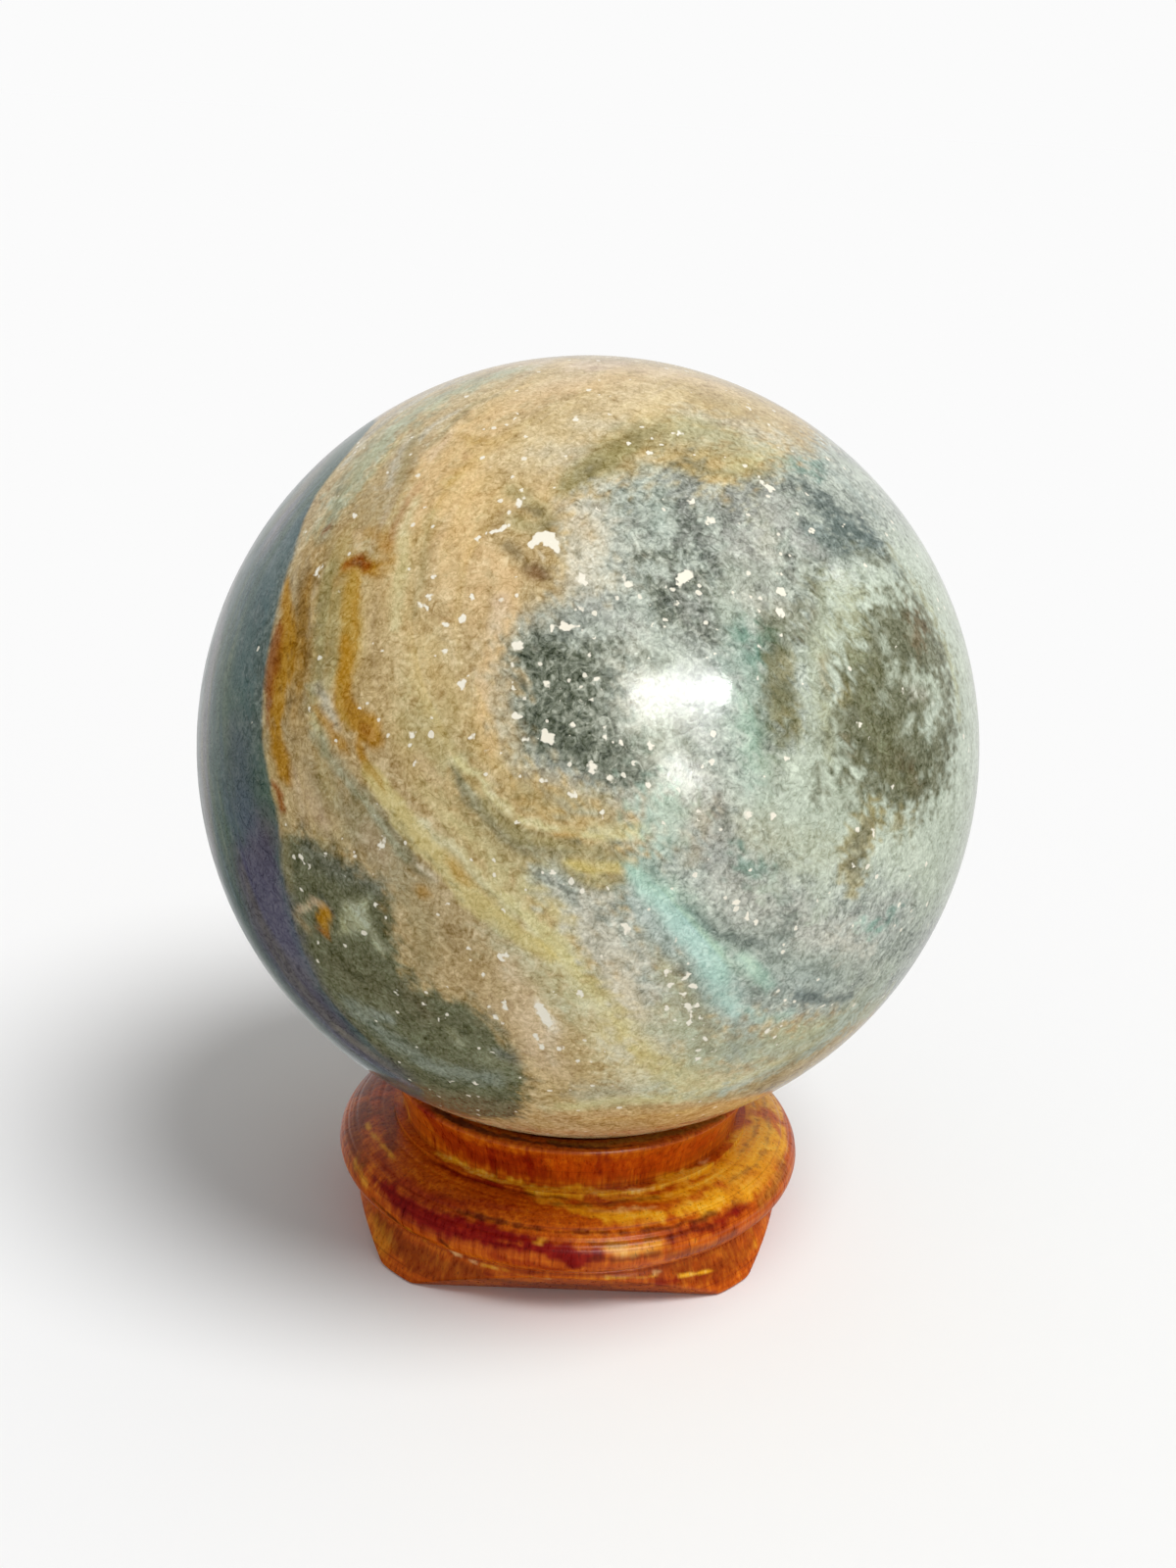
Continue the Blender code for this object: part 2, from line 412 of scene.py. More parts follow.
lay("grey and pale green", [
    ("silver", 60, 1.0, [(590, 520), (620, 486), (680, 478), (740, 496), (800, 466), (840, 440),
        (920, 460), (990, 570), (1030, 760), (990, 940), (920, 1030), (860, 1040), (780, 1046),
        (736, 1050), (690, 1020), (650, 975), (610, 915), (640, 880), (656, 850), (610, 822),
        (560, 800), (524, 776), (506, 736), (506, 680), (524, 640), (560, 606), (574, 566)]),
    ("mint", 56, 1.0, [(846, 590), (890, 570), (930, 540), (990, 570), (1030, 760), (990, 940),
        (940, 930), (900, 900), (850, 900), (800, 890), (764, 850), (730, 812), (760, 790),
        (804, 760), (826, 700), (822, 640)]),
])
lay("outer skin of the upper left", [
    ("sage", 40, 1.0, [(540, 374, 12), (470, 396, 16), (420, 424, 18), (380, 462, 20),
        (350, 505, 18), (330, 540, 10)]),
    ("grey_sage", 40, 1.0, [(460, 436, 12), (410, 480, 20), (384, 520, 24), (364, 556, 24),
        (340, 600, 20), (328, 660, 16), (320, 700, 14)]),
    ("blush", 40, 0.9, [(520, 372, 10), (600, 374, 22), (690, 382, 22), (740, 396, 14)]),
    ("peach", 40, 0.9, [(640, 388, 12), (560, 396, 20), (510, 416, 20), (466, 450, 18),
        (440, 490, 16), (422, 540, 12)]),
    ("peach", 50, 0.7, [(500, 450, 26), (474, 500, 30), (462, 560, 26), (466, 610, 22)]),
    ("cream", 44, 0.9, [(690, 404, 20), (620, 420, 26), (566, 446, 30), (540, 486, 24)]),
    ("grey_sage", 40, 0.8, [(720, 408, 14), (780, 430, 14), (820, 452, 10)]),
    ("olive", 40, 0.5, [(650, 450, 16), (690, 452, 18), (740, 464, 22), (782, 470, 12)]),
    ("straw", 34, 0.6, [(700, 430, 12), (750, 448, 16), (790, 462, 12)]),
    ("cream", 34, 0.6, [(640, 408, 10), (670, 420, 12)]),
])

# %% [markdown]
# Inside the C lie tan and bone, and long tan and straw bands run on to the lower right. The right
# half gets its lavender, turquoise and steel, and the lower left its dark green patch, which is an
# outline because its edge is closed.

# %% Inside the C and the right half
lay("inside the C", [
    ("tan", 40, 0.9, [(540, 500, 20), (528, 540, 26), (540, 580, 20), (560, 610, 10)]),
    ("bone", 44, 0.9, [(600, 520, 12), (612, 560, 26), (606, 590, 22), (630, 560, 16)]),
    ("tan", 30, 0.8, [(560, 560, 10), (574, 590, 12), (560, 620, 12)]),
    ("sand", 50, 0.8, [(412, 600, 24), (420, 680, 30), (440, 740, 30), (480, 800, 26)]),
    ("tan", 40, 0.8, [(392, 600, 12), (384, 660, 14), (386, 710, 14), (400, 750, 12)]),
    ("straw", 44, 0.5, [(430, 660, 16), (440, 720, 20), (452, 770, 18)]),
    ("tan", 40, 0.9, [(300, 720, 14), (312, 780, 18), (330, 830, 22), (360, 860, 22),
        (400, 880, 14)]),
    ("tan", 50, 0.9, [(400, 880, 16), (430, 930, 30), (450, 980, 30), (500, 1010, 24),
        (540, 1060, 24), (570, 1110, 28)]),
    ("olive", 44, 0.6, [(470, 790, 16), (500, 850, 16), (540, 890, 16), (590, 890, 10)]),
    ("straw", 50, 0.9, [(520, 940, 16), (580, 990, 26), (630, 1040, 36), (670, 1090, 36),
        (720, 1110, 30)]),
])
lay("right half and lower left", [
    ("bone", 50, 0.8, [(780, 520, 16), (776, 570, 22), (764, 610, 18), (800, 620, 12)]),
    ("lavender", 44, 0.8, [(790, 512, 16), (812, 540, 16), (826, 560, 10)]),
    ("lavender", 40, 0.7, [(620, 610, 16), (600, 630, 16), (640, 640, 12)]),
    ("turquoise", 50, 0.55, [(760, 680, 14), (768, 740, 18), (770, 790, 12)]),
    ("silver", 50, 0.8, [(650, 690, 24), (690, 720, 34), (720, 770, 24)]),
    ("lavender", 50, 0.7, [(716, 830, 20), (740, 880, 26), (780, 930, 26), (850, 960, 26),
        (920, 930, 18)]),
    ("steel", 50, 0.9, [(640, 930, 12), (690, 950, 14), (760, 990, 24), (840, 990, 26),
        (890, 980, 14)]),
    ("sage", 40, 1.0, [(716, 1070, 20), (780, 1070, 28), (850, 1052, 22), (900, 1020, 14)]),
    ("bone", 40, 0.9, [(574, 892, 8), (610, 930, 14), (640, 970, 16), (664, 1010, 12)]),
    ("grey_sage", 44, 0.5, [(672, 990, 10), (692, 1030, 16), (704, 1064, 16)]),
    # partly painted reflection: pale mint along the ball's right outline, over mint rock
    ("mint", 30, 0.8, [(860, 470, 12), (910, 510, 16), (950, 570, 16), (980, 650, 14),
        (990, 760, 10)]),
    ("forest", 26, 1.0, [(280, 856), (304, 850), (325, 856), (346, 868), (366, 884), (390, 898),
        (400, 920), (402, 950), (408, 980), (428, 1002), (452, 1016), (480, 1024), (500, 1036),
        (514, 1056), (532, 1078), (538, 1104), (530, 1140), (480, 1140), (420, 1120), (370, 1080),
        (320, 1020), (290, 950)]),
])

# %% [markdown]
# The slate cap has a crisp edge where it meets the sandy rock, so it is an outline. Inside it the
# colour runs from teal at the top through blue to violet at the bottom. A grey band along the
# ball's outline is partly the rock's greyer outer skin and partly painted sheen of the polish.

# %% Slate cap
CAP_WOBBLE = 0.3
CAP_RAG = 0.25
CAP_EDGE = [
    (384, 430), (370, 446), (354, 464), (338, 484), (324, 503), (313, 524), (305, 546), (299, 566),
    (291, 590), (284, 612), (278, 640), (272, 680), (268, 710), (266, 740), (270, 770), (276, 800),
    (283, 830), (287, 860), (289, 890), (294, 920), (302, 950), (312, 978), (328, 1008),
    (348, 1034), (372, 1058), (392, 1080), (410, 1096), (430, 1112), (440, 1130),
]
CAP_OUTSIDE = [
    (500, 1190), (360, 1160), (210, 1050), (130, 850), (120, 700), (180, 520), (290, 400),
    (360, 390),
]
cap_places = ball_places + CAP_WOBBLE * (stone_places - ball_places)
lay("slate cap", [
    ("band_teal", 6, 1.0, CAP_EDGE + CAP_OUTSIDE),
    # partly painted sheen: grey along the ball's upper left outline
    ("grey_band_and_rim_sheen", 40, 0.9, [(372, 424, 8), (350, 450, 14), (316, 488, 16), (290, 526, 18),
                            (272, 556, 12)]),
    ("band_blue", 60, 0.9, [(244, 760, 30), (248, 820, 36)]),
    ("band_violet", 50, 1.0, [(270, 850, 20), (262, 900, 50), (280, 960, 50), (310, 1010, 40),
                             (360, 1066, 30), (400, 1092, 20)]),
    # partly painted sheen: grey along the ball's left and lower left outline
    ("grey_band_and_rim_sheen", 26, 0.8, [(262, 548, 12), (236, 600, 14), (220, 660, 16), (210, 720, 18),
                            (208, 790, 22), (214, 850, 22), (228, 910, 16)]),
    ("grey_band_and_rim_sheen", 16, 0.6, [(344, 1050, 8), (384, 1080, 8), (416, 1106, 6)]),
    ("slate", 14, 0.8, [(302, 554, 4), (288, 590, 6), (274, 640, 7), (264, 700, 8), (262, 760, 7)]),
    ("band_violet", 18, 0.9, [(274, 860, 7), (280, 910, 9), (292, 960, 10), (310, 1000, 8)]),
], CAP_RAG, cap_places)

# %% [markdown]
# ## Veins and patches
# Before the detail, thin washes bring each broad area nearer to the colour seen in the photograph:
# some warmer, some greyer, some only a shade darker. They are weak and very soft, so that no edge
# of theirs shows. The pale ones round the bright marks are partly painted glow of the highlights.

# %% Washes
VEIN_RAG = 0.5
lay("washes", [
    ("cream", 40, 0.5, [(516, 404, 8), (560, 392, 10), (600, 386, 10), (640, 392, 10),
        (680, 402, 8)]),
    ("bone", 40, 0.35, [(600, 434, 14), (660, 440, 14), (720, 446, 14), (770, 456, 10)]),
    ("cream", 36, 0.6, [(504, 470, 12), (540, 460, 14), (580, 462, 14), (624, 470, 12)]),
    ("peach", 36, 0.6, [(440, 510, 10), (480, 510, 12), (520, 506, 12), (556, 510, 12)]),
    ("peach", 36, 0.5, [(470, 556, 12), (480, 600, 14), (500, 640, 12)]),
    ("peach", 40, 0.4, [(400, 600, 14), (420, 650, 14), (440, 690, 12)]),
    ("mustard", 24, 0.5, [(420, 740, 8), (436, 756, 10), (446, 766, 6)]),
    ("silver", 32, 0.6, [(630, 556, 12), (670, 548, 14)]),
    ("silver", 26, 0.7, [(630, 584, 12), (632, 600, 10)]),
    ("mint", 30, 0.5, [(750, 590, 12), (790, 590, 10)]),
    ("charcoal", 30, 0.4, [(706, 512, 8), (740, 512, 8)]),
    ("slate", 26, 0.8, [(826, 540, 12), (850, 556, 14), (880, 560, 12)]),
    ("amber", 26, 0.45, [(306, 590, 8), (300, 640, 12), (304, 690, 12), (300, 730, 10)]),
    ("olive", 26, 0.6, [(342, 560, 10), (336, 600, 10), (330, 650, 10), (326, 700, 10)]),
    ("mustard", 16, 0.5, [(350, 600, 6), (344, 640, 7), (340, 690, 7)]),
    ("grey_sage", 30, 0.7, [(326, 780, 12), (350, 820, 16), (384, 860, 16), (410, 900, 14)]),
    ("olive", 40, 0.5, [(330, 800, 14), (370, 840, 16), (400, 880, 16), (420, 920, 14),
        (436, 970, 12)]),
    ("moss", 20, 0.9, [(784, 640, 8), (796, 676, 10), (800, 710, 12), (804, 748, 8)]),
    ("sage", 14, 0.7, [(842, 600, 5), (834, 640, 8), (836, 690, 9), (844, 740, 8), (846, 772, 5)]),
    ("forest", 30, 0.8, [(872, 712, 14), (880, 760, 16), (914, 716, 12), (918, 756, 12)]),
    # partly painted glow round the bright marks, over pale rock
    ("milk", 60, 0.35, [(630, 680, 20), (660, 744, 26), (670, 790, 20), (676, 826, 14)]),
    ("bone", 44, 0.5, [(650, 800, 14), (680, 834, 20), (700, 800, 16), (740, 840, 18),
        (784, 860, 14)]),
    ("sage", 44, 0.5, [(770, 850, 16), (810, 866, 20), (850, 880, 18)]),
    ("bone", 44, 0.4, [(750, 906, 20), (800, 940, 24), (850, 960, 20), (890, 990, 14)]),
    ("bone", 44, 0.6, [(630, 960, 14), (640, 1000, 18), (680, 1056, 20)]),
    ("sage", 44, 0.5, [(700, 1090, 14), (760, 1084, 14), (840, 1060, 12), (880, 1016, 12)]),
    ("blush", 40, 0.5, [(510, 1030, 12), (550, 1050, 14), (540, 1080, 12)]),
    ("straw", 30, 0.5, [(510, 900, 10), (516, 924, 10)]),
    ("umber", 34, 0.4, [(312, 590, 14), (306, 650, 16), (312, 712, 14)]),
    ("amber", 34, 0.3, [(350, 548, 12), (352, 600, 12)]),
    ("amber", 40, 0.35, [(322, 560, 14), (316, 600, 18), (312, 650, 18), (312, 700, 16)]),
    ("mustard", 34, 0.35, [(352, 556, 12), (358, 600, 14), (354, 650, 12), (350, 700, 10)]),
    ("umber", 50, 0.22, [(312, 760, 16), (326, 830, 24), (380, 850, 24), (430, 890, 22),
        (468, 950, 22)]),
    ("umber", 44, 0.2, [(350, 990, 20), (400, 1020, 20)]),
    ("olive", 34, 0.5, [(424, 736, 14), (442, 764, 14)]),
    ("charcoal", 44, 0.25, [(706, 514, 14), (744, 550, 16)]),
    ("slate", 40, 0.3, [(796, 478, 12), (836, 508, 18), (872, 520, 14)]),
    ("charcoal", 44, 0.45, [(706, 626, 16), (716, 666, 14)]),
    ("teal", 40, 0.35, [(750, 630, 12), (756, 676, 14)]),
    ("moss", 36, 0.45, [(790, 612, 10), (796, 650, 12), (788, 710, 14), (790, 752, 16),
        (788, 794, 12)]),
    ("moss", 30, 0.3, [(828, 588, 12)]),
    ("moss", 34, 0.4, [(838, 746, 12), (852, 740, 12), (872, 708, 12)]),
    ("moss", 34, 0.35, [(864, 818, 12), (882, 840, 12)]),
    ("lavender", 28, 0.6, [(624, 560, 10), (628, 596, 14)]),
    ("charcoal", 28, 0.25, [(550, 634, 10), (594, 634, 12)]),
    # partly painted glow between and under the bright marks, over mint rock
    ("mint", 44, 0.45, [(676, 670, 12), (672, 750, 14), (676, 834, 14)]),
    ("milk", 40, 0.35, [(626, 956, 12), (640, 1000, 16)]),
    ("milk", 48, 0.35, [(620, 1050, 14), (640, 1084, 18)]),
    ("mint", 44, 0.5, [(600, 1116, 14), (670, 1110, 16)]),
    ("steel", 40, 0.5, [(790, 950, 14)]),
    ("steel", 40, 0.45, [(752, 1034, 14), (756, 1072, 14)]),
    ("sage", 36, 0.35, [(506, 1080, 14)]),
    ("mint", 40, 0.9, [(740, 1112, 10), (836, 1064, 12), (868, 1032, 12), (908, 992, 12)]),
    ("cream", 30, 0.35, [(508, 786, 10)]),
    ("forest", 44, 0.35, [(392, 1026, 14), (432, 1068, 14)]),
    ("umber", 34, 0.5, [(300, 596, 14), (292, 660, 14), (286, 712, 14), (284, 752, 12)]),
    ("olive", 34, 0.4, [(350, 552, 12), (348, 600, 10)]),
    ("olive", 30, 0.5, [(430, 750, 14)]),
    ("umber", 44, 0.15, [(322, 830, 20), (386, 850, 20)]),
    ("forest", 34, 0.2, [(430, 990, 14)]),
    ("bone", 38, 0.6, [(700, 422, 12), (750, 434, 14), (792, 448, 12)]),
    ("bone", 36, 0.4, [(556, 462, 12), (600, 464, 12)]),
    ("turquoise", 34, 0.5, [(648, 888, 10), (690, 930, 16), (722, 976, 20), (742, 1020, 18)]),
    ("moss", 30, 0.3, [(706, 1050, 12)]),
    ("slate", 34, 0.25, [(790, 950, 14), (752, 1034, 12), (752, 1074, 12)]),
    ("sage", 34, 0.8, [(672, 1000, 14), (696, 1040, 16), (716, 1076, 14)]),
    ("olive", 20, 0.6, [(616, 482, 6), (680, 474, 6), (740, 486, 7), (782, 480, 6)]),
], VEIN_RAG)

# %% [markdown]
# Between the cap and the pale C lie thin threads of bone and olive, patches of peach, and the
# first rust: a small dark wedge where the amber vein begins. The outermost bone thread, along the
# ball's outline, is painted sheen.

# %% Upper left
lay("upper left", [
    # painted sheen: pale bone along the ball's upper left outline
    ("bone", 22, 0.6, [(480, 384, 6), (440, 400, 8), (400, 424, 8), (372, 448, 7), (350, 474, 5)]),
    ("olive", 16, 0.5, [(395, 430, 6), (372, 462, 9), (352, 494, 9)]),
    ("bone", 8, 0.6, [(476, 414, 2), (450, 430, 4), (430, 446, 4)]),
    ("bone", 10, 0.5, [(420, 446, 5), (404, 470, 6), (394, 496, 4)]),
    ("olive", 8, 0.6, [(510, 402, 2), (486, 410, 3), (470, 424, 3), (450, 446, 4), (438, 458, 3)]),
    ("olive", 12, 0.5, [(430, 436, 5), (416, 462, 6), (408, 490, 5)]),
    ("peach", 14, 0.7, [(470, 436, 8), (440, 466, 9), (425, 500, 8), (418, 530, 6)]),
    ("blush", 10, 0.6, [(462, 442, 4), (440, 468, 5)]),
    ("mustard", 10, 0.6, [(470, 444, 4), (484, 452, 6), (498, 450, 4)]),
    ("mustard", 10, 0.5, [(452, 492, 4), (466, 486, 6), (474, 478, 4)]),
    ("rust", 8, 0.35, [(476, 464, 3), (478, 472, 2)]),
    ("peach", 20, 0.8, [(480, 480, 12), (470, 520, 12), (466, 570, 10)]),
    ("umber", 16, 0.3, [(352, 490, 6), (340, 520, 7), (334, 550, 6)]),
    ("rust", 10, 0.4, [(426, 496, 2), (413, 515, 4), (402, 540, 5), (396, 556, 5)]),
    ("amber", 14, 0.5, [(372, 545, 6), (392, 548, 8), (396, 566, 8), (388, 590, 5)]),
    ("blush", 8, 0.6, [(364, 546, 5), (367, 560, 4)]),
    ("amber", 10, 0.9, [(350, 578, 5), (366, 576, 10), (382, 581, 7)]),
    ("rust", 6, 1.0, [(353, 578, 3), (366, 574, 8), (376, 580, 4)]),
    ("umber", 6, 0.5, [(362, 574, 3), (370, 576, 3)]),
    ("rust", 7, 0.7, [(337, 537, 3), (331, 542, 2)]),
    ("straw", 10, 0.6, [(424, 510, 4), (412, 550, 6), (408, 600, 6), (404, 640, 6)]),
    ("olive", 10, 0.45, [(440, 520, 3), (434, 560, 4), (426, 600, 4), (424, 630, 3)]),
    ("tan", 12, 0.5, [(460, 556, 5), (470, 600, 6), (474, 650, 6), (470, 700, 6), (474, 740, 6)]),
    ("mustard", 24, 0.3, [(436, 650, 12), (440, 700, 16), (452, 740, 12)]),
    ("peach", 12, 0.9, [(496, 560, 6), (516, 590, 10), (522, 620, 9), (508, 650, 8), (494, 690, 7),
        (490, 730, 7), (502, 764, 7)]),
    ("blush", 8, 0.7, [(512, 612, 8), (506, 638, 6)]),
    ("tan", 14, 0.7, [(386, 600, 12), (380, 640, 10), (378, 690, 8), (394, 726, 8)]),
], VEIN_RAG)

# %% [markdown]
# Streaks of olive, cream and amber run down beside the cap. The widest is a rust wedge that leans
# against the slate and ends in a point.

# %% Beside the cap
lay("beside the cap", [
    ("tan", 10, 0.7, [(318, 560, 5), (306, 590, 3), (300, 625, 2)]),
    ("cream", 6, 0.6, [(306, 568, 2), (300, 600, 3), (297, 628, 2)]),
    ("amber", 12, 0.6, [(316, 590, 5), (310, 620, 8), (306, 660, 8), (306, 700, 4)]),
    ("olive", 12, 0.7, [(338, 580, 9), (330, 620, 9), (326, 660, 9), (322, 690, 7)]),
    ("amber", 10, 0.4, [(344, 590, 4), (338, 640, 5), (334, 680, 5)]),
    ("cream", 8, 0.5, [(322, 600, 2), (318, 630, 3), (314, 650, 2)]),
    ("amber", 8, 0.95, [(292, 596, 5), (293, 640, 12), (290, 680, 16), (284, 710, 14),
        (280, 742, 11)]),
    ("rust", 10, 0.8, [(284, 640, 7), (278, 690, 9), (274, 720, 6), (270, 742, 2)]),
    ("amber", 10, 0.95, [(280, 742, 8), (284, 770, 11), (292, 796, 8)]),
    ("rust", 6, 0.9, [(280, 798, 3), (284, 812, 5), (287, 826, 3)]),
    ("bone", 12, 0.6, [(322, 700, 5), (332, 720, 8), (340, 744, 5)]),
    ("sage", 12, 0.6, [(314, 700, 4), (322, 740, 5), (332, 766, 4)]),
    ("amber", 6, 0.7, [(320, 722, 4), (331, 738, 5), (344, 756, 4), (354, 768, 3)]),
], VEIN_RAG)

# %% [markdown]
# The amber vein falls from the wedge and bends to the right at its foot, where iron has stained
# the rock most.

# %% Amber vein
lay("amber vein", [
    ("mustard", 9, 0.95, [(362, 588, 7), (359, 606, 10), (357, 640, 11), (354, 670, 11),
        (350, 690, 10)]),
    ("olive", 8, 0.7, [(344, 604, 5), (340, 640, 6), (338, 676, 6), (334, 700, 5)]),
    ("amber", 5, 0.5, [(366, 590, 3), (362, 620, 3), (360, 650, 3), (358, 680, 3)]),
    ("amber", 8, 0.9, [(352, 650, 4), (351, 690, 9), (349, 716, 11), (360, 732, 12), (374, 744, 13),
        (384, 756, 9)]),
    ("mustard", 5, 0.8, [(346, 700, 3), (344, 722, 3), (356, 742, 4)]),
    ("rust", 5, 0.4, [(372, 746, 5), (380, 752, 5)]),
    ("amber", 5, 0.9, [(366, 764, 5), (372, 776, 5), (378, 786, 4)]),
], VEIN_RAG)

# %% [markdown]
# The yellow vein takes over there and runs down to the right. Lemon is its body, and straw, olive
# and milk threads lie along both sides of it.

# %% Yellow vein
lay("yellow vein", [
    ("moss", 8, 0.5, [(320, 752, 5), (340, 776, 7), (358, 797, 8), (382, 823, 9), (404, 850, 8),
        (426, 885, 6), (446, 902, 3)]),
    ("sage", 5, 0.6, [(332, 768, 2), (350, 792, 3), (374, 820, 3), (396, 846, 3), (420, 880, 2)]),
    ("lemon", 6, 0.9, [(376, 784, 7), (395, 812, 10), (419, 843, 11), (446, 874, 10),
        (472, 906, 10), (500, 932, 10), (530, 956, 9), (560, 976, 8)]),
    ("mustard", 4, 0.8, [(374, 778, 4), (384, 792, 4), (392, 804, 2)]),
    ("amber", 8, 0.6, [(458, 880, 4), (468, 892, 6), (478, 904, 4)]),
    ("straw", 6, 0.8, [(430, 836, 3), (452, 860, 5), (480, 888, 6), (512, 918, 7), (548, 946, 8),
        (580, 974, 8)]),
    ("mustard", 5, 0.45, [(452, 866, 2), (480, 896, 3), (506, 920, 2)]),
    ("olive", 4, 0.8, [(398, 828, 1), (424, 860, 1), (450, 888, 1), (474, 916, 1)]),
    ("olive", 4, 0.6, [(440, 850, 1), (470, 880, 1), (500, 908, 1), (530, 934, 1)]),
    ("milk", 4, 0.7, [(426, 880, 2), (436, 891, 2), (446, 899, 2)]),
    ("straw", 12, 0.5, [(430, 800, 6), (460, 836, 7), (490, 862, 8), (520, 890, 8)]),
    ("tan", 10, 0.5, [(410, 770, 6), (430, 796, 6), (450, 822, 5)]),
    ("blush", 10, 0.5, [(426, 772, 5), (446, 796, 5)]),
    ("straw", 10, 0.6, [(540, 900, 8), (570, 930, 10), (590, 950, 8)]),
    ("blush", 26, 0.6, [(306, 800, 10), (320, 830, 12), (340, 846, 8)]),
    ("olive", 22, 0.4, [(330, 862, 8), (362, 846, 8), (372, 820, 6)]),
    ("blush", 20, 0.4, [(376, 850, 8), (392, 872, 8)]),
    ("amber", 10, 0.6, [(430, 911, 5), (438, 914, 4)]),
], VEIN_RAG)

# %% [markdown]
# Under the dark patch in the middle the bands curl into a lip: a pale straw edge with mossy and
# umber shadows on either side.

# %% Lip
lay("lip", [
    ("umber", 5, 0.6, [(460, 782, 2), (468, 800, 2), (478, 820, 2)]),
    ("mustard", 12, 0.35, [(486, 762, 5), (510, 784, 7), (533, 812, 8), (560, 828, 8),
        (600, 838, 6)]),
    ("moss", 8, 0.6, [(467, 792, 4), (485, 816, 6), (511, 845, 7), (542, 866, 7), (577, 872, 6)]),
    ("olive", 8, 0.7, [(500, 820, 6), (530, 850, 7), (570, 862, 7), (612, 874, 7), (634, 882, 5)]),
    ("olive", 12, 0.8, [(556, 884, 6), (600, 898, 7), (634, 898, 6)]),
    ("lemon", 5, 0.8, [(580, 880, 3), (604, 886, 4), (630, 886, 4)]),
    ("straw", 4, 0.95, [(463, 773, 2), (489, 789, 3), (507, 813, 3), (529, 834, 3), (555, 842, 3),
        (586, 851, 3), (621, 856, 3), (656, 854, 3)]),
    ("straw", 6, 0.8, [(600, 846, 4), (630, 848, 5), (656, 848, 4)]),
    ("milk", 3, 0.5, [(500, 802, 1), (520, 828, 1), (548, 841, 1)]),
    ("umber", 3, 0.5, [(498, 812, 1), (522, 838, 1), (552, 850, 1), (590, 860, 1), (630, 863, 1)]),
    ("amber", 5, 0.6, [(566, 848, 3), (584, 852, 4)]),
], VEIN_RAG)

# %% [markdown]
# At the top an olive cloud lies in the cream, with umber specks where it thins out.

# %% Top
lay("top", [
    ("olive", 34, 0.7, [(592, 484, 12), (620, 458, 14), (660, 440, 16), (700, 434, 16),
        (744, 446, 14), (770, 462, 8)]),
    ("umber", 24, 0.35, [(590, 486, 8), (616, 464, 9), (644, 450, 7)]),
    ("olive", 18, 0.9, [(640, 460, 8), (614, 474, 14), (594, 488, 12), (578, 500, 8)]),
    ("umber", 12, 0.4, [(612, 472, 6), (596, 486, 6)]),
    ("olive", 14, 0.7, [(520, 500, 8), (546, 512, 8), (560, 532, 9), (546, 540, 8), (524, 530, 8)]),
    ("umber", 10, 0.6, [(536, 516, 4), (552, 524, 4)]),
    ("umber", 8, 0.5, [(562, 534, 4), (566, 544, 3)]),
    ("umber", 10, 0.6, [(514, 558, 5), (528, 570, 5)]),
    ("umber", 12, 0.85, [(536, 580, 5), (548, 584, 8), (554, 592, 5)]),
    ("rust", 14, 0.3, [(540, 584, 7), (550, 590, 6)]),
    ("umber", 6, 0.85, [(604, 514, 3), (612, 517, 4)]),
    ("cream", 18, 0.6, [(578, 512, 6), (590, 540, 8)]),
    ("blush", 20, 0.5, [(590, 530, 8), (606, 556, 10)]),
    ("olive", 16, 0.6, [(698, 446, 10), (718, 440, 8)]),
    ("cream", 10, 0.5, [(650, 466, 4), (676, 472, 4)]),
    ("straw", 14, 0.5, [(752, 474, 10), (774, 468, 8)]),
    ("umber", 14, 0.45, [(690, 458, 5), (704, 462, 6)]),
    ("silver", 14, 0.6, [(660, 482, 8), (690, 484, 8)]),
], VEIN_RAG)

# %% [markdown]
# The dark green patch has a pale window near its top with an amber stain in it, and a steel blue
# sheen along its lower edge.

# %% Lower left patch
lay("lower left patch", [
    ("sage", 8, 0.8, [(350, 920), (376, 916), (380, 950), (344, 956), (346, 940)]),
    ("sage", 9, 0.7, [(380, 952, 4), (388, 966, 6)]),
    ("amber", 10, 1.0, [(328, 938, 7), (334, 928, 6), (330, 950, 4)]),
    ("rust", 8, 0.6, [(324, 946, 4), (332, 952, 3)]),
    ("charcoal", 6, 0.7, [(326, 914, 2), (334, 920, 2), (340, 930, 2)]),
    ("blush", 7, 0.8, [(304, 928, 3), (318, 918, 3), (330, 922, 2)]),
    ("tan", 12, 0.5, [(304, 936, 4), (312, 946, 4)]),
    ("umber", 22, 0.5, [(416, 1006, 8), (436, 1036, 10)]),
    ("charcoal", 22, 0.4, [(316, 868, 10), (350, 890, 12), (386, 906, 8)]),
    ("olive", 14, 0.5, [(292, 850, 5), (292, 880, 7), (296, 905, 5)]),
    ("steel", 30, 0.45, [(362, 1030, 10), (400, 1062, 12), (450, 1092, 12), (500, 1100, 10)]),
    ("steel", 12, 0.5, [(382, 1034, 5), (396, 1038, 5)]),
    ("sage", 10, 0.5, [(458, 1050, 4), (470, 1066, 4)]),
    ("charcoal", 12, 0.6, [(506, 1074, 7), (520, 1080, 6)]),
], VEIN_RAG)

# %% [markdown]
# In the lower middle a silvery strip, a turquoise stripe and a few slate threads run side by side
# to the lower right.

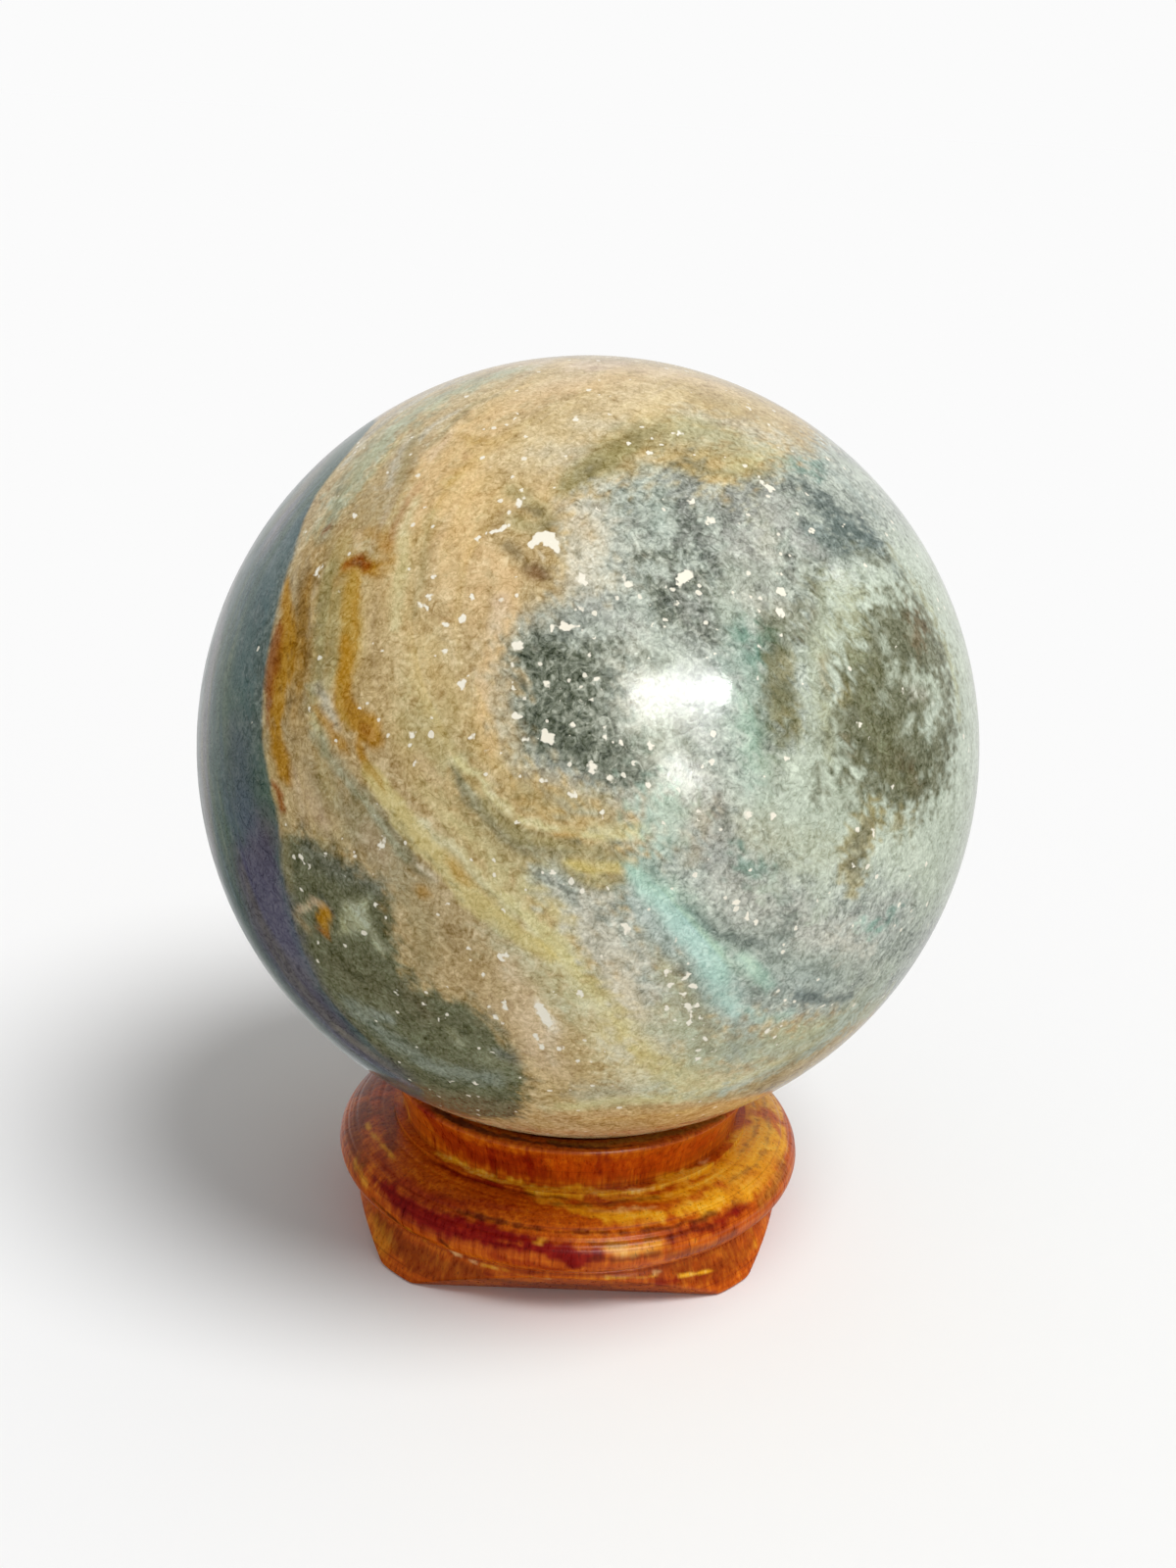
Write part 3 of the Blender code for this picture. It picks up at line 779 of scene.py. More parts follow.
# %% Lower middle
lay("lower middle", [
    ("sage", 24, 0.4, [(500, 950, 8), (540, 990, 10), (580, 1030, 10)]),
    ("blush", 26, 0.5, [(520, 985, 12), (536, 1010, 12), (560, 1090, 22)]),
    ("milk", 7, 0.8, [(546, 1022, 2), (556, 1034, 4), (562, 1048, 5)]),
    ("milk", 12, 0.4, [(562, 1056, 4), (564, 1084, 5)]),
    ("lemon", 24, 0.5, [(620, 1050, 14), (650, 1080, 16)]),
    ("cream", 24, 0.5, [(625, 1000, 10), (650, 1030, 12)]),
    ("silver", 14, 0.9, [(552, 894, 8), (580, 912, 11), (604, 930, 12), (630, 955, 12),
        (650, 985, 11), (664, 1018, 9)]),
    ("charcoal", 8, 0.4, [(560, 900, 3), (590, 922, 3), (612, 946, 3)]),
    ("slate", 6, 0.5, [(612, 905, 2), (625, 925, 2), (640, 948, 2)]),
    ("steel", 20, 0.8, [(640, 910, 8), (656, 940, 12), (684, 966, 10)]),
    ("forest", 22, 0.35, [(692, 990, 7), (704, 1020, 9), (714, 1046, 9), (722, 1072, 8)]),
    ("sage", 20, 0.6, [(700, 1052, 10), (670, 1050, 8)]),
    ("turquoise", 12, 0.95, [(642, 888, 5), (662, 906, 8), (684, 926, 10), (700, 944, 12),
        (716, 968, 13), (734, 990, 12)]),
    ("turquoise", 14, 0.8, [(734, 994, 8), (742, 1016, 8), (750, 1034, 6)]),
    ("turquoise", 12, 0.8, [(760, 980, 6), (774, 994, 9), (784, 1006, 5)]),
    ("turquoise", 14, 0.5, [(760, 1030, 6), (780, 1040, 5), (806, 1034, 5)]),
    ("slate", 12, 0.7, [(694, 922, 4), (712, 936, 6), (728, 950, 6), (750, 960, 6), (780, 970, 6)]),
    ("slate", 24, 0.25, [(740, 1010, 6), (790, 1010, 12), (820, 990, 14), (850, 1000, 14),
        (880, 996, 12)]),
    ("slate", 12, 0.85, [(812, 1016, 5), (826, 1018, 9), (846, 1022, 5), (872, 1016, 3)]),
    ("straw", 20, 0.9, [(560, 1132, 8), (620, 1124, 10), (700, 1118, 10), (780, 1092, 8),
        (840, 1060, 5)]),
], VEIN_RAG)

# %% [markdown]
# ## Mottles of the right half
# The grey and green half has no bands but mottles, with edges far more ragged than the veins'.
# Dark ones come first, above the middle.

# %% Dark mottles
MOTTLE_RAG = 1.8
lay("dark mottles", [
    ("lavender", 14, 0.6, [(700, 504, 8), (730, 506, 8)]),
    ("charcoal", 10, 0.85, [(736, 520, 5), (748, 530, 10), (742, 544, 7)]),
    ("charcoal", 10, 0.75, [(700, 520, 4), (706, 538, 8), (694, 556, 7)]),
    ("charcoal", 10, 0.6, [(716, 556, 7), (730, 568, 6), (734, 584, 7)]),
    ("speckled", 10, 0.8, [(658, 572, 4), (680, 570, 6), (702, 564, 5)]),
    ("speckled", 10, 0.9, [(660, 592, 5), (676, 604, 8), (694, 600, 10), (712, 592, 10),
        (722, 606, 9)]),
    ("speckled", 12, 0.9, [(664, 612, 5), (680, 626, 10), (700, 632, 12), (716, 640, 10),
        (722, 652, 6)]),
    ("charcoal", 8, 0.5, [(664, 530, 4), (662, 548, 4)]),
    ("charcoal", 8, 0.5, [(640, 520, 3), (648, 534, 3)]),
    ("charcoal", 8, 0.85, [(806, 566, 5), (808, 582, 7)]),
    ("charcoal", 12, 0.4, [(826, 570, 8), (842, 564, 6)]),
    ("lavender", 12, 0.6, [(826, 556, 10), (800, 540, 8)]),
    ("steel", 12, 0.6, [(670, 516, 8), (676, 536, 8)]),
    ("mint", 16, 0.5, [(740, 600, 8), (742, 640, 8)]),
    ("lavender", 26, 0.7, [(752, 516, 12), (764, 556, 16), (780, 590, 12)]),
], MOTTLE_RAG)

# %% [markdown]
# At the upper right a slate spot fades into moss on one side and teal on the other.

# %% Slate spot
lay("slate spot", [
    ("slate", 24, 0.95, [(822, 496, 8), (840, 512, 14), (856, 530, 21), (876, 544, 21),
        (894, 556, 12)]),
    ("slate", 16, 0.7, [(880, 540, 6), (900, 562, 8), (916, 584, 6)]),
    ("moss", 16, 0.6, [(868, 560, 6), (884, 566, 8), (902, 574, 7)]),
    ("charcoal", 12, 0.5, [(800, 496, 6), (820, 500, 6)]),
    ("teal", 16, 0.7, [(812, 474, 5), (828, 482, 8), (836, 472, 5)]),
    ("steel", 16, 0.6, [(850, 482, 8), (872, 502, 8), (890, 522, 8)]),
], MOTTLE_RAG)

# %% [markdown]
# The central patch is the darkest and the fullest of crystals. A tan rim parts it from the C.

# %% Central patch
lay("central patch", [
    ("speckled", 30, 1.0, [(512, 660), (530, 650), (552, 648), (576, 646), (600, 650), (624, 652),
        (630, 676), (628, 700), (626, 716), (636, 736), (654, 750), (668, 768), (670, 792),
        (660, 808), (640, 812), (616, 806), (600, 796), (584, 792), (566, 780), (546, 772),
        (530, 762), (522, 744), (520, 722), (522, 700), (514, 680)]),
    ("speckled", 12, 0.8, [(560, 664, 8), (600, 664, 8), (616, 680, 6)]),
    ("speckled", 14, 0.9, [(552, 690, 12), (580, 714, 18), (580, 744, 16), (606, 766, 12),
        (640, 786, 14)]),
    ("silver", 14, 0.6, [(560, 622, 8), (590, 632, 8), (620, 640, 6)]),
    ("silver", 16, 0.6, [(636, 690, 6), (640, 716, 6)]),
    ("tan", 16, 0.6, [(520, 690, 4), (516, 720, 5), (526, 752, 5)]),
    ("lavender", 16, 0.6, [(540, 782, 5), (562, 794, 7), (590, 806, 7)]),
    ("tan", 18, 0.7, [(546, 800, 6), (576, 816, 8), (610, 826, 8), (636, 830, 5)]),
], MOTTLE_RAG)

# %% [markdown]
# To its right teal, olive and mint lie in short upright dabs.

# %% Right of the patch
lay("right of the patch", [
    ("lavender", 18, 0.6, [(716, 752, 8), (720, 762, 6)]),
    ("charcoal", 12, 0.35, [(696, 780, 5), (704, 784, 4)]),
    ("turquoise", 20, 0.3, [(760, 690, 6), (770, 720, 7), (768, 756, 7)]),
    ("teal", 16, 0.8, [(758, 646, 8), (770, 656, 10), (778, 668, 8), (788, 650, 6)]),
    ("olive", 14, 0.8, [(798, 672, 8), (798, 700, 11), (806, 728, 14), (812, 744, 9)]),
    ("forest", 12, 0.8, [(800, 700, 7), (806, 726, 9), (810, 742, 6)]),
    ("moss", 10, 0.7, [(792, 664, 6), (800, 700, 6)]),
    ("steel", 12, 0.7, [(752, 682, 6), (764, 704, 8), (778, 724, 6)]),
    ("umber", 6, 0.8, [(832, 597, 3), (830, 618, 4), (826, 640, 4), (816, 656, 4)]),
    ("moss", 14, 0.6, [(812, 620, 8), (806, 646, 8)]),
    ("mint", 16, 0.9, [(822, 770, 8), (812, 800, 12), (806, 824, 10)]),
    ("mint", 12, 0.8, [(850, 770, 5), (850, 800, 6)]),
    ("moss", 10, 0.8, [(834, 786, 5), (836, 800, 6), (838, 820, 4)]),
    ("turquoise", 30, 0.5, [(668, 816, 12), (684, 840, 14), (676, 862, 12)]),
    ("mint", 20, 0.6, [(668, 812, 8), (682, 830, 8)]),
    ("charcoal", 14, 0.5, [(722, 818, 5), (732, 830, 8), (738, 844, 5)]),
    ("lavender", 26, 0.6, [(704, 840, 12), (730, 866, 12)]),
    ("tan", 20, 0.3, [(716, 830, 8), (706, 870, 8)]),
    ("charcoal", 16, 0.35, [(680, 884, 7), (694, 872, 5)]),
    ("teal", 16, 0.7, [(752, 872, 4), (764, 886, 7), (782, 890, 6)]),
    ("mint", 12, 0.8, [(782, 906, 7), (796, 912, 6)]),
    ("slate", 14, 0.5, [(800, 920, 4), (804, 944, 7), (800, 966, 7)]),
    ("mint", 20, 0.7, [(838, 906, 9), (838, 930, 9)]),
    ("bone", 24, 0.6, [(850, 958, 8), (886, 966, 9)]),
    ("teal", 16, 0.8, [(892, 944, 5), (906, 938, 8), (918, 932, 6)]),
    ("turquoise", 14, 0.5, [(880, 946, 5), (894, 950, 5)]),
], MOTTLE_RAG)

# %% [markdown]
# The mossy blotch at the right is a soft outline, broken up by darker dabs of forest green and
# umber and by pale ones of mint, with a tail that hangs down from it.

# %% Mossy blotch
lay("mossy blotch", [
    ("sage", 16, 0.8, [(846, 596, 8), (876, 604, 10), (850, 630, 8), (836, 664, 8), (830, 700, 8),
        (836, 740, 7)]),
    ("mint", 22, 0.7, [(862, 596, 8), (842, 622, 9), (836, 656, 8), (832, 700, 9), (828, 740, 8),
        (818, 780, 10)]),
    ("cream", 12, 0.5, [(838, 672, 5), (842, 704, 5)]),
    ("moss", 40, 1.0, [(896, 612), (932, 610), (950, 628), (962, 652), (970, 690), (974, 730),
        (972, 770), (960, 806), (942, 828), (918, 834), (894, 828), (874, 806), (862, 780),
        (854, 750), (850, 716), (854, 680), (866, 650), (880, 628)]),
    ("forest", 30, 0.6, [(866, 700, 10), (864, 740, 12), (872, 780, 10)]),
    ("forest", 24, 0.5, [(874, 668, 10), (884, 700, 16), (896, 740, 20), (910, 780, 20),
        (924, 806, 12)]),
    ("umber", 12, 0.9, [(930, 626, 8), (942, 640, 10), (932, 656, 8)]),
    ("umber", 12, 0.6, [(940, 666, 6), (934, 684, 5)]),
    ("moss", 10, 0.7, [(910, 604, 5), (920, 616, 5)]),
    ("forest", 18, 0.9, [(884, 676, 9), (896, 690, 12), (888, 704, 8)]),
    ("charcoal", 16, 0.5, [(872, 728, 7), (882, 744, 9)]),
    ("forest", 18, 0.95, [(880, 726, 8), (890, 748, 12), (906, 764, 14)]),
    ("umber", 14, 0.8, [(906, 776, 8), (926, 786, 12), (934, 804, 9)]),
    ("forest", 14, 0.8, [(900, 772, 9), (924, 796, 11), (934, 808, 8)]),
    ("olive", 12, 0.8, [(856, 708, 7), (864, 704, 5)]),
    ("umber", 12, 0.6, [(862, 754, 5), (868, 766, 5)]),
    ("mint", 24, 0.9, [(930, 690, 6), (950, 694, 9), (956, 720, 11), (946, 744, 7)]),
    ("mint", 14, 0.6, [(900, 656, 5), (914, 676, 5), (904, 716, 4)]),
    ("mint", 12, 0.5, [(930, 730, 5), (926, 748, 4)]),
    ("bone", 12, 0.5, [(932, 704, 6), (944, 712, 5)]),
    ("olive", 16, 0.9, [(890, 830, 13), (880, 856, 17), (868, 884, 15), (872, 904, 8)]),
    ("umber", 14, 0.4, [(886, 840, 9), (872, 880, 8)]),
    ("moss", 12, 0.6, [(886, 836, 5), (876, 862, 7), (874, 890, 5)]),
    ("olive", 20, 0.5, [(912, 838, 10), (926, 842, 8)]),
    ("sage", 9, 0.7, [(908, 560, 4), (930, 594, 4), (950, 624, 5), (966, 660, 5), (975, 700, 5),
        (979, 730, 4)]),
    ("moss", 8, 0.5, [(906, 566, 2), (928, 600, 2), (948, 632, 2), (964, 668, 2), (973, 706, 2)]),
], MOTTLE_RAG)

# %% [markdown]
# Last come washes again, all over the ball. They are ragged like the mottles, so that they leave
# grains of what lies under them, and they even out what the dabs have shifted.

# %% Last washes
lay("last washes", [
    ("silver", 24, 0.7, [(622, 566, 10), (630, 596, 13)]),
    ("milk", 24, 0.2, [(630, 590, 14)]),
    ("cream", 20, 0.45, [(506, 636, 8), (500, 690, 8), (500, 740, 8), (516, 778, 8)]),
    ("olive", 20, 0.4, [(540, 806, 8), (580, 822, 10), (620, 828, 8)]),
    ("bone", 22, 0.5, [(602, 500, 8), (590, 540, 10), (586, 600, 8)]),
    ("milk", 30, 0.3, [(602, 560, 12), (610, 592, 12)]),
    ("charcoal", 14, 0.7, [(686, 488, 6), (706, 496, 8)]),
    ("umber", 14, 0.5, [(692, 474, 6), (716, 480, 6)]),
    ("charcoal", 24, 0.6, [(692, 604, 12), (712, 634, 13)]),
    ("lavender", 26, 0.6, [(752, 592, 12), (786, 598, 10)]),
    ("turquoise", 34, 0.35, [(672, 826, 14)]),
    # partly painted glow: a pale spot between the two bright marks
    ("mint", 34, 0.5, [(672, 752, 13)]),
    ("moss", 32, 0.4, [(828, 590, 11), (834, 752, 12)]),
    ("forest", 28, 0.45, [(793, 712, 11), (796, 750, 11)]),
    ("sage", 28, 0.5, [(868, 632, 10), (870, 664, 9)]),
    ("bone", 28, 0.6, [(596, 926, 10), (628, 966, 12), (650, 1010, 12)]),
    ("milk", 26, 0.35, [(600, 930, 8), (630, 970, 9), (652, 1014, 9)]),
    ("milk", 38, 0.3, [(630, 1070, 14), (652, 1100, 14)]),
    ("mint", 28, 0.7, [(828, 1074, 9), (868, 1040, 10), (906, 998, 10)]),
    ("mint", 24, 0.6, [(740, 1114, 9)]),
    ("mint", 24, 0.5, [(826, 672, 9), (826, 716, 9)]),
    ("forest", 24, 0.4, [(872, 668, 9), (874, 712, 9)]),
    ("charcoal", 30, 0.25, [(750, 508, 12), (834, 512, 12), (872, 514, 12)]),
    ("bone", 22, 0.5, [(560, 918, 6), (590, 946, 8), (618, 990, 9)]),
    ("umber", 28, 0.35, [(314, 588, 12), (312, 650, 12), (312, 712, 12)]),
    ("charcoal", 26, 0.25, [(264, 628, 10), (262, 690, 12), (268, 748, 10)]),
    ("mint", 22, 0.35, [(750, 586, 10), (786, 592, 8)]),
    ("charcoal", 18, 0.25, [(712, 592, 8), (713, 632, 8)]),
    ("charcoal", 18, 0.25, [(548, 630, 9), (592, 630, 9)]),
    ("forest", 14, 0.4, [(792, 634, 7), (791, 676, 8), (792, 718, 9)]),
    ("forest", 16, 0.4, [(874, 706, 8), (875, 754, 10)]),
    ("forest", 16, 0.35, [(908, 706, 7), (914, 752, 8)]),
    ("forest", 12, 0.35, [(828, 592, 7), (834, 604, 5)]),
    ("mint", 18, 0.35, [(662, 830, 9), (690, 842, 8)]),
    ("mint", 16, 0.35, [(582, 832, 6), (600, 828, 6)]),
    ("mint", 20, 0.35, [(668, 1114, 7), (716, 1116, 8), (756, 1106, 8), (800, 1086, 8),
        (838, 1062, 9), (872, 1030, 9)]),
    ("mint", 16, 0.3, [(870, 998, 8), (904, 984, 8)]),
    ("bone", 18, 0.35, [(626, 1062, 8), (632, 1080, 8)]),
    ("amber", 24, 0.14, [(350, 540, 10), (352, 598, 11)]),
    ("amber", 22, 0.1, [(390, 552, 10), (392, 594, 9)]),
    ("amber", 20, 0.14, [(430, 746, 10), (432, 756, 10)]),
    ("amber", 18, 0.14, [(350, 746, 9), (352, 758, 9)]),
    ("mint", 26, 0.15, [(704, 440, 10), (760, 452, 11), (806, 472, 9)]),
    ("bone", 6, 0.4, [(596, 930, 11), (612, 960, 12), (618, 976, 10)]),
    ("milk", 16, 0.3, [(628, 984, 8), (642, 1004, 8)]),
    ("mint", 6, 0.4, [(734, 1036, 7), (758, 1050, 8)]),
], MOTTLE_RAG)

# %% [markdown]
# ## Crystals
# Pale crystals are scattered in the rock like chips of shell. The large ones are set one by one.
# What is stored for them is how far each point of the mesh is from the nearest crystal's edge: the
# shader finds the edge between the mesh points from that, so it stays crisp and angular.

# %% Large crystals
CRYSTALS = [
    [(541, 557, 3), (550, 548, 6), (560, 549, 7), (568, 560, 4)], [(487, 550, 4)],
    [(500, 543, 2), (510, 542, 2), (517, 535, 3)], [(531, 509, 4), (529, 516, 3)],
    [(592, 589, 4), (596, 594, 3)], [(638, 590, 3), (642, 598, 3)], [(574, 638, 4), (582, 640, 3)],
    [(565, 641, 3)], [(590, 640, 3)], [(588, 619, 2), (594, 622, 2)],
    [(524, 658, 3), (532, 659, 4)], [(557, 697, 3), (560, 700, 2)], [(527, 730, 4)],
    [(538, 753, 3)], [(558, 751, 6), (563, 756, 4)], [(585, 741, 3)], [(596, 717, 3)],
    [(608, 694, 3)], [(613, 708, 3)], [(600, 778, 3), (605, 786, 4)], [(624, 795, 4)],
    [(662, 760, 4)], [(635, 758, 3)], [(644, 766, 2)], [(617, 753, 3)], [(554, 797, 3)],
    [(584, 811, 4)], [(662, 803, 3)], [(602, 668, 2)], [(472, 632, 5)],
    [(470, 700, 3), (473, 692, 3)], [(455, 637, 3)], [(454, 664, 3)], [(511, 611, 3)],
    [(482, 609, 3)], [(483, 753, 3)], [(497, 764, 2)], [(616, 832, 3)], [(600, 828, 2)],
    [(618, 821, 2)], [(323, 584, 4)], [(328, 578, 3)], [(361, 527, 4)], [(347, 603, 3)],
    [(438, 608, 3)], [(428, 616, 2), (440, 622, 2)], [(443, 588, 3)], [(587, 427, 4)],
    [(534, 453, 3)], [(493, 467, 3)], [(642, 453, 3)], [(664, 461, 3)],
    [(697, 590, 6), (703, 586, 4)], [(691, 598, 3)], [(689, 616, 3)], [(725, 531, 5)],
    [(774, 487, 3), (781, 494, 4), (787, 499, 5)], [(828, 542, 4)], [(860, 536, 3)],
    [(796, 585, 4)], [(797, 603, 5)], [(796, 625, 5)], [(748, 607, 4)],
    [(699, 506, 2), (708, 513, 3)], [(793, 457, 3)], [(694, 442, 5)], [(764, 832, 5)],
    [(788, 832, 4)], [(803, 774, 3)], [(724, 875, 3)], [(877, 738, 3)], [(875, 846, 3)],
    [(891, 846, 3)], [(890, 853, 3)], [(871, 883, 3)], [(923, 764, 2)], [(911, 802, 3)],
    [(934, 793, 3)], [(922, 705, 3)], [(388, 864, 4), (391, 855, 2)],
    [(307, 872, 3), (310, 879, 2)], [(315, 884, 3)], [(308, 908, 3)], [(384, 923, 3)],
    [(394, 936, 3)], [(420, 749, 4)], [(424, 778, 3)], [(511, 974, 3), (514, 981, 2)],
    [(518, 974, 3)], [(495, 995, 3)], [(505, 1037, 3)], [(512, 1043, 3)],
    [(513, 1022, 3), (517, 1029, 3)], [(503, 1074, 3)], [(461, 1104, 3)], [(485, 1105, 4)],
    [(449, 1041, 3)], [(405, 1013, 3)], [(433, 1025, 3)], [(593, 1014, 4)], [(636, 944, 3)],
    [(640, 950, 3)], [(691, 961, 3)], [(682, 992, 4)], [(700, 994, 4)], [(696, 1014, 4)],
    [(681, 1029, 3)], [(703, 1044, 4)], [(705, 1034, 3)], [(711, 1027, 3)], [(727, 1072, 4)],
    [(712, 1080, 3)], [(720, 1060, 3)], [(751, 921, 4)], [(760, 934, 4)], [(770, 942, 3)],
    [(783, 1052, 4)], [(791, 1058, 3)], [(572, 1070, 4)], [(590, 1083, 4)], [(526, 1134, 3)],
    [(549, 1026, 4), (556, 1036, 6), (561, 1046, 4)], [(546, 1056, 2), (554, 1070, 2)],
    [(683, 1004, 4)], [(708, 1006, 4)], [(700, 1024, 4), (704, 1028, 3)], [(690, 1040, 3)],
    [(714, 1038, 3)], [(718, 1048, 3)], [(708, 1058, 3)], [(698, 1000, 3)], [(553, 888, 3)],
    [(564, 890, 3)], [(579, 903, 3)], [(594, 909, 3)], [(508, 911, 3)], [(800, 1022, 3)],
]
CRYSTAL_SHARE = 0.88
CRYSTAL_RAG_MM = 0.10
CRYSTAL_RAG_SIZE_MM = 0.6
FARTHEST_MM = 2.0


def off_crystals(points, rag):
    """How far each point lies from the nearest large crystal, less than zero inside one."""
    gap = np.full(len(points), FARTHEST_MM)
    for crystal in CRYSTALS:
        smaller = [(x, y, CRYSTAL_SHARE * width) for x, y, width in crystal]
        gap = np.minimum(gap, off_stroke(points, pixel_on_ball, smaller))
    return gap + CRYSTAL_RAG_MM * rag


crystal_gap = off_crystals(ball_places, wobble(ball_points, CRYSTAL_RAG_SIZE_MM, 7)[:, 0])
print("large crystals", len(CRYSTALS))

# %% [markdown]
# ## Which way the bands run
# Fine streaks follow the bands. Six guide lines across the bands, each with its distance from the
# first, say how far across the flow any point is, and how far along it. With these two numbers the
# shader can draw streaks that bend with the rock.

# %% Guide lines
GUIDES = [
    (-15.0, [(410, 412), (330, 476), (250, 575), (208, 690), (203, 790), (225, 895), (275, 998),
        (340, 1072), (420, 1124)]),
    (0.0, [(365, 463), (314, 533), (287, 592), (268, 683), (272, 770), (287, 865), (295, 929),
        (347, 1014), (417, 1083)]),
    (11.5, [(500, 392), (430, 440), (395, 500), (365, 580), (352, 640), (355, 700), (372, 760),
        (400, 812), (440, 868), (480, 930), (530, 985), (590, 1040), (640, 1100)]),
    (17.3, [(560, 398), (480, 440), (430, 500), (405, 560), (400, 640), (410, 700), (440, 760),
        (490, 830), (540, 880), (590, 925), (640, 990), (690, 1060)]),
    (22.3, [(640, 388), (560, 440), (480, 500), (455, 560), (450, 640), (465, 700), (500, 770),
        (550, 820), (610, 860), (650, 900), (700, 960), (740, 1010)]),
    (26.8, [(720, 400), (620, 460), (540, 520), (500, 580), (495, 640), (500, 700), (520, 760),
        (570, 810), (640, 850), (690, 900), (750, 960), (820, 1020)]),
]
GUIDE_SOFT_MM = 0.5


def flow_of(points):
    """How far along and how far across the bands each point is, in mm."""
    total = np.zeros(len(points))
    across = np.zeros(len(points))
    along = np.zeros(len(points))
    for place, guide in GUIDES:
        line = np.array([pixel_on_ball(x, y) for x, y in guide])
        best = np.full(len(points), FAR_OFF)
        run = np.zeros(len(points))
        passed = 0.0
        for a, b in zip(line, line[1:]):
            gap, share = off_segment(points, a, b)
            length = np.linalg.norm(b - a)
            nearer = gap < best
            best = np.where(nearer, gap, best)
            run = np.where(nearer, passed + share * length, run)
            passed += length
        weight = 1 / (best + GUIDE_SOFT_MM) ** 2
        total += weight
        across += weight * place
        along += weight * run
    return along / total, across / total


flow_along, flow_across = flow_of(ball_places)
print("flow across from", round(flow_across.min(), 1), "to", round(flow_across.max(), 1), "mm")

# %% [markdown]
# The painting is kept on the mesh: three colours for the grains, and two more rows of numbers for
# the flow and the crystals.

# %% Store the painting on the ball
def store_grains(mesh, values):
    """Keeps the three grain colours of each point on the mesh."""
    for name, columns in GRAINS.items():
        store(mesh, name, values[:, columns])


store_grains(ball.data, stone)
store(ball.data, "flow", np.stack([flow_along, flow_across, stone[:, STREAKINESS]], 1))
store(ball.data, "crystals", np.stack([crystal_gap, stone[:, SPECKS], 0 * crystal_gap], 1))
print("stored", len(stone), "rows of values on the ball")

# %% [markdown]
# ## Helpers for the finishes
# Each helper adds one node, or the few that always go together, and hands back its output. The
# last ones pick a grain colour and start a finish, for the stone and the wood alike.

# %% Node helpers
def add_node(tree, kind, **inputs):
    node = tree.nodes.new(kind)
    for name, value in inputs.items():
        node.inputs[name].default_value = value
    return node


def maths(tree, operation, first, second=None, third=None):
    """One Math node. A number is set on its socket, and anything else is linked to it."""
    node = tree.nodes.new("ShaderNodeMath")
    node.operation = operation
    for socket, value in zip(node.inputs, (first, second, third)):
        if value is None:
            continue
        if isinstance(value, (int, float)):
            socket.default_value = value
        else:
            tree.links.new(value, socket)
    return node.outputs[0]


def between(tree, first, second, share):
    """first where share is 0, second where it is 1."""
    return maths(tree, "MULTIPLY_ADD", maths(tree, "SUBTRACT", second, first), share, first)


def swing(tree, value, by, around):
    """A noise, which swings about a half, made to swing about another value by so much."""
    return maths(tree, "MULTIPLY_ADD", maths(tree, "SUBTRACT", value, 0.5), by, around)


def spread(tree, value, low, high, to_low=0.0, to_high=1.0, smooth=False):
    """Maps low..high to to_low..to_high, clamped."""
    node = tree.nodes.new("ShaderNodeMapRange")
    node.interpolation_type = "SMOOTHSTEP" if smooth else "LINEAR"
    node.clamp = True
    ends = {"From Min": low, "From Max": high, "To Min": to_low, "To Max": to_high}
    for name, number in ends.items():
        node.inputs[name].default_value = number
    tree.links.new(value, node.inputs["Value"])
    return node.outputs["Result"]


def noise_of(tree, vector, scale, detail, roughness, curl):
    node = add_node(tree, "ShaderNodeTexNoise", Scale=scale, Detail=detail, Roughness=roughness,
                    Distortion=curl)
    tree.links.new(vector, node.inputs["Vector"])
    return node.outputs["Fac"]


def scaled(tree, vector, x, y, z):
    """A place stretched by its own factor along each axis."""
    node = tree.nodes.new("ShaderNodeMapping")
    node.inputs["Scale"].default_value = (x, y, z)
    tree.links.new(vector, node.inputs["Vector"])
    return node.outputs["Vector"]


def blend_of(tree, share, first, second):
    """The first colour where share is 0, the second where it is 1."""
    node = tree.nodes.new("ShaderNodeMix")
    node.data_type = "RGBA"
    tree.links.new(share, node.inputs["Factor"])
    for socket, value in ((node.inputs["A"], first), (node.inputs["B"], second)):
        if isinstance(value, tuple):
            socket.default_value = (*value, 1.0)
        else:
            tree.links.new(value, socket)
    return node.outputs["Result"]


def vector_maths(tree, operation, first, second):
    node = tree.nodes.new("ShaderNodeVectorMath")
    node.operation = operation
    tree.links.new(first, node.inputs[0])
    tree.links.new(second, node.inputs[1])
    return node.outputs[0]


def gamma_of(tree, colour, power):
    node = add_node(tree, "ShaderNodeGamma", Gamma=power)
    tree.links.new(colour, node.inputs["Color"])
    return node.outputs["Color"]


def stored(tree, name):
    node = tree.nodes.new("ShaderNodeAttribute")
    node.attribute_name = name
    return node.outputs["Vector"]


def split(tree, vector):
    node = tree.nodes.new("ShaderNodeSeparateXYZ")
    tree.links.new(vector, node.inputs[0])
    return node.outputs


def grain_colour(tree, even, drawn_out, streaky, contrast):
    """Picks the dark, middle or light grain by an even noise, in streaky spots a drawn-out one."""
    pick = swing(tree, between(tree, even, drawn_out, streaky), contrast, 0.5)
    dark, middle, light = [stored(tree, name) for name in GRAINS]
    lower = blend_of(tree, spread(tree, pick, 0.0, 0.5), dark, middle)
    return blend_of(tree, spread(tree, pick, 0.5, 1.0), lower, light)


def new_finish(name):
    """A material with its tree, its shader and the place on the piece."""
    material = bpy.data.materials.new(name)
    material.use_nodes = True
    tree = material.node_tree
    coordinates = tree.nodes.new("ShaderNodeTexCoord").outputs["Object"]
    return material, tree, tree.nodes["Principled BSDF"], coordinates


def bump_of(tree, height, distance, strength):
    node = add_node(tree, "ShaderNodeBump", Strength=strength, Distance=distance)
    tree.links.new(height, node.inputs["Height"])
    return node.outputs["Normal"]


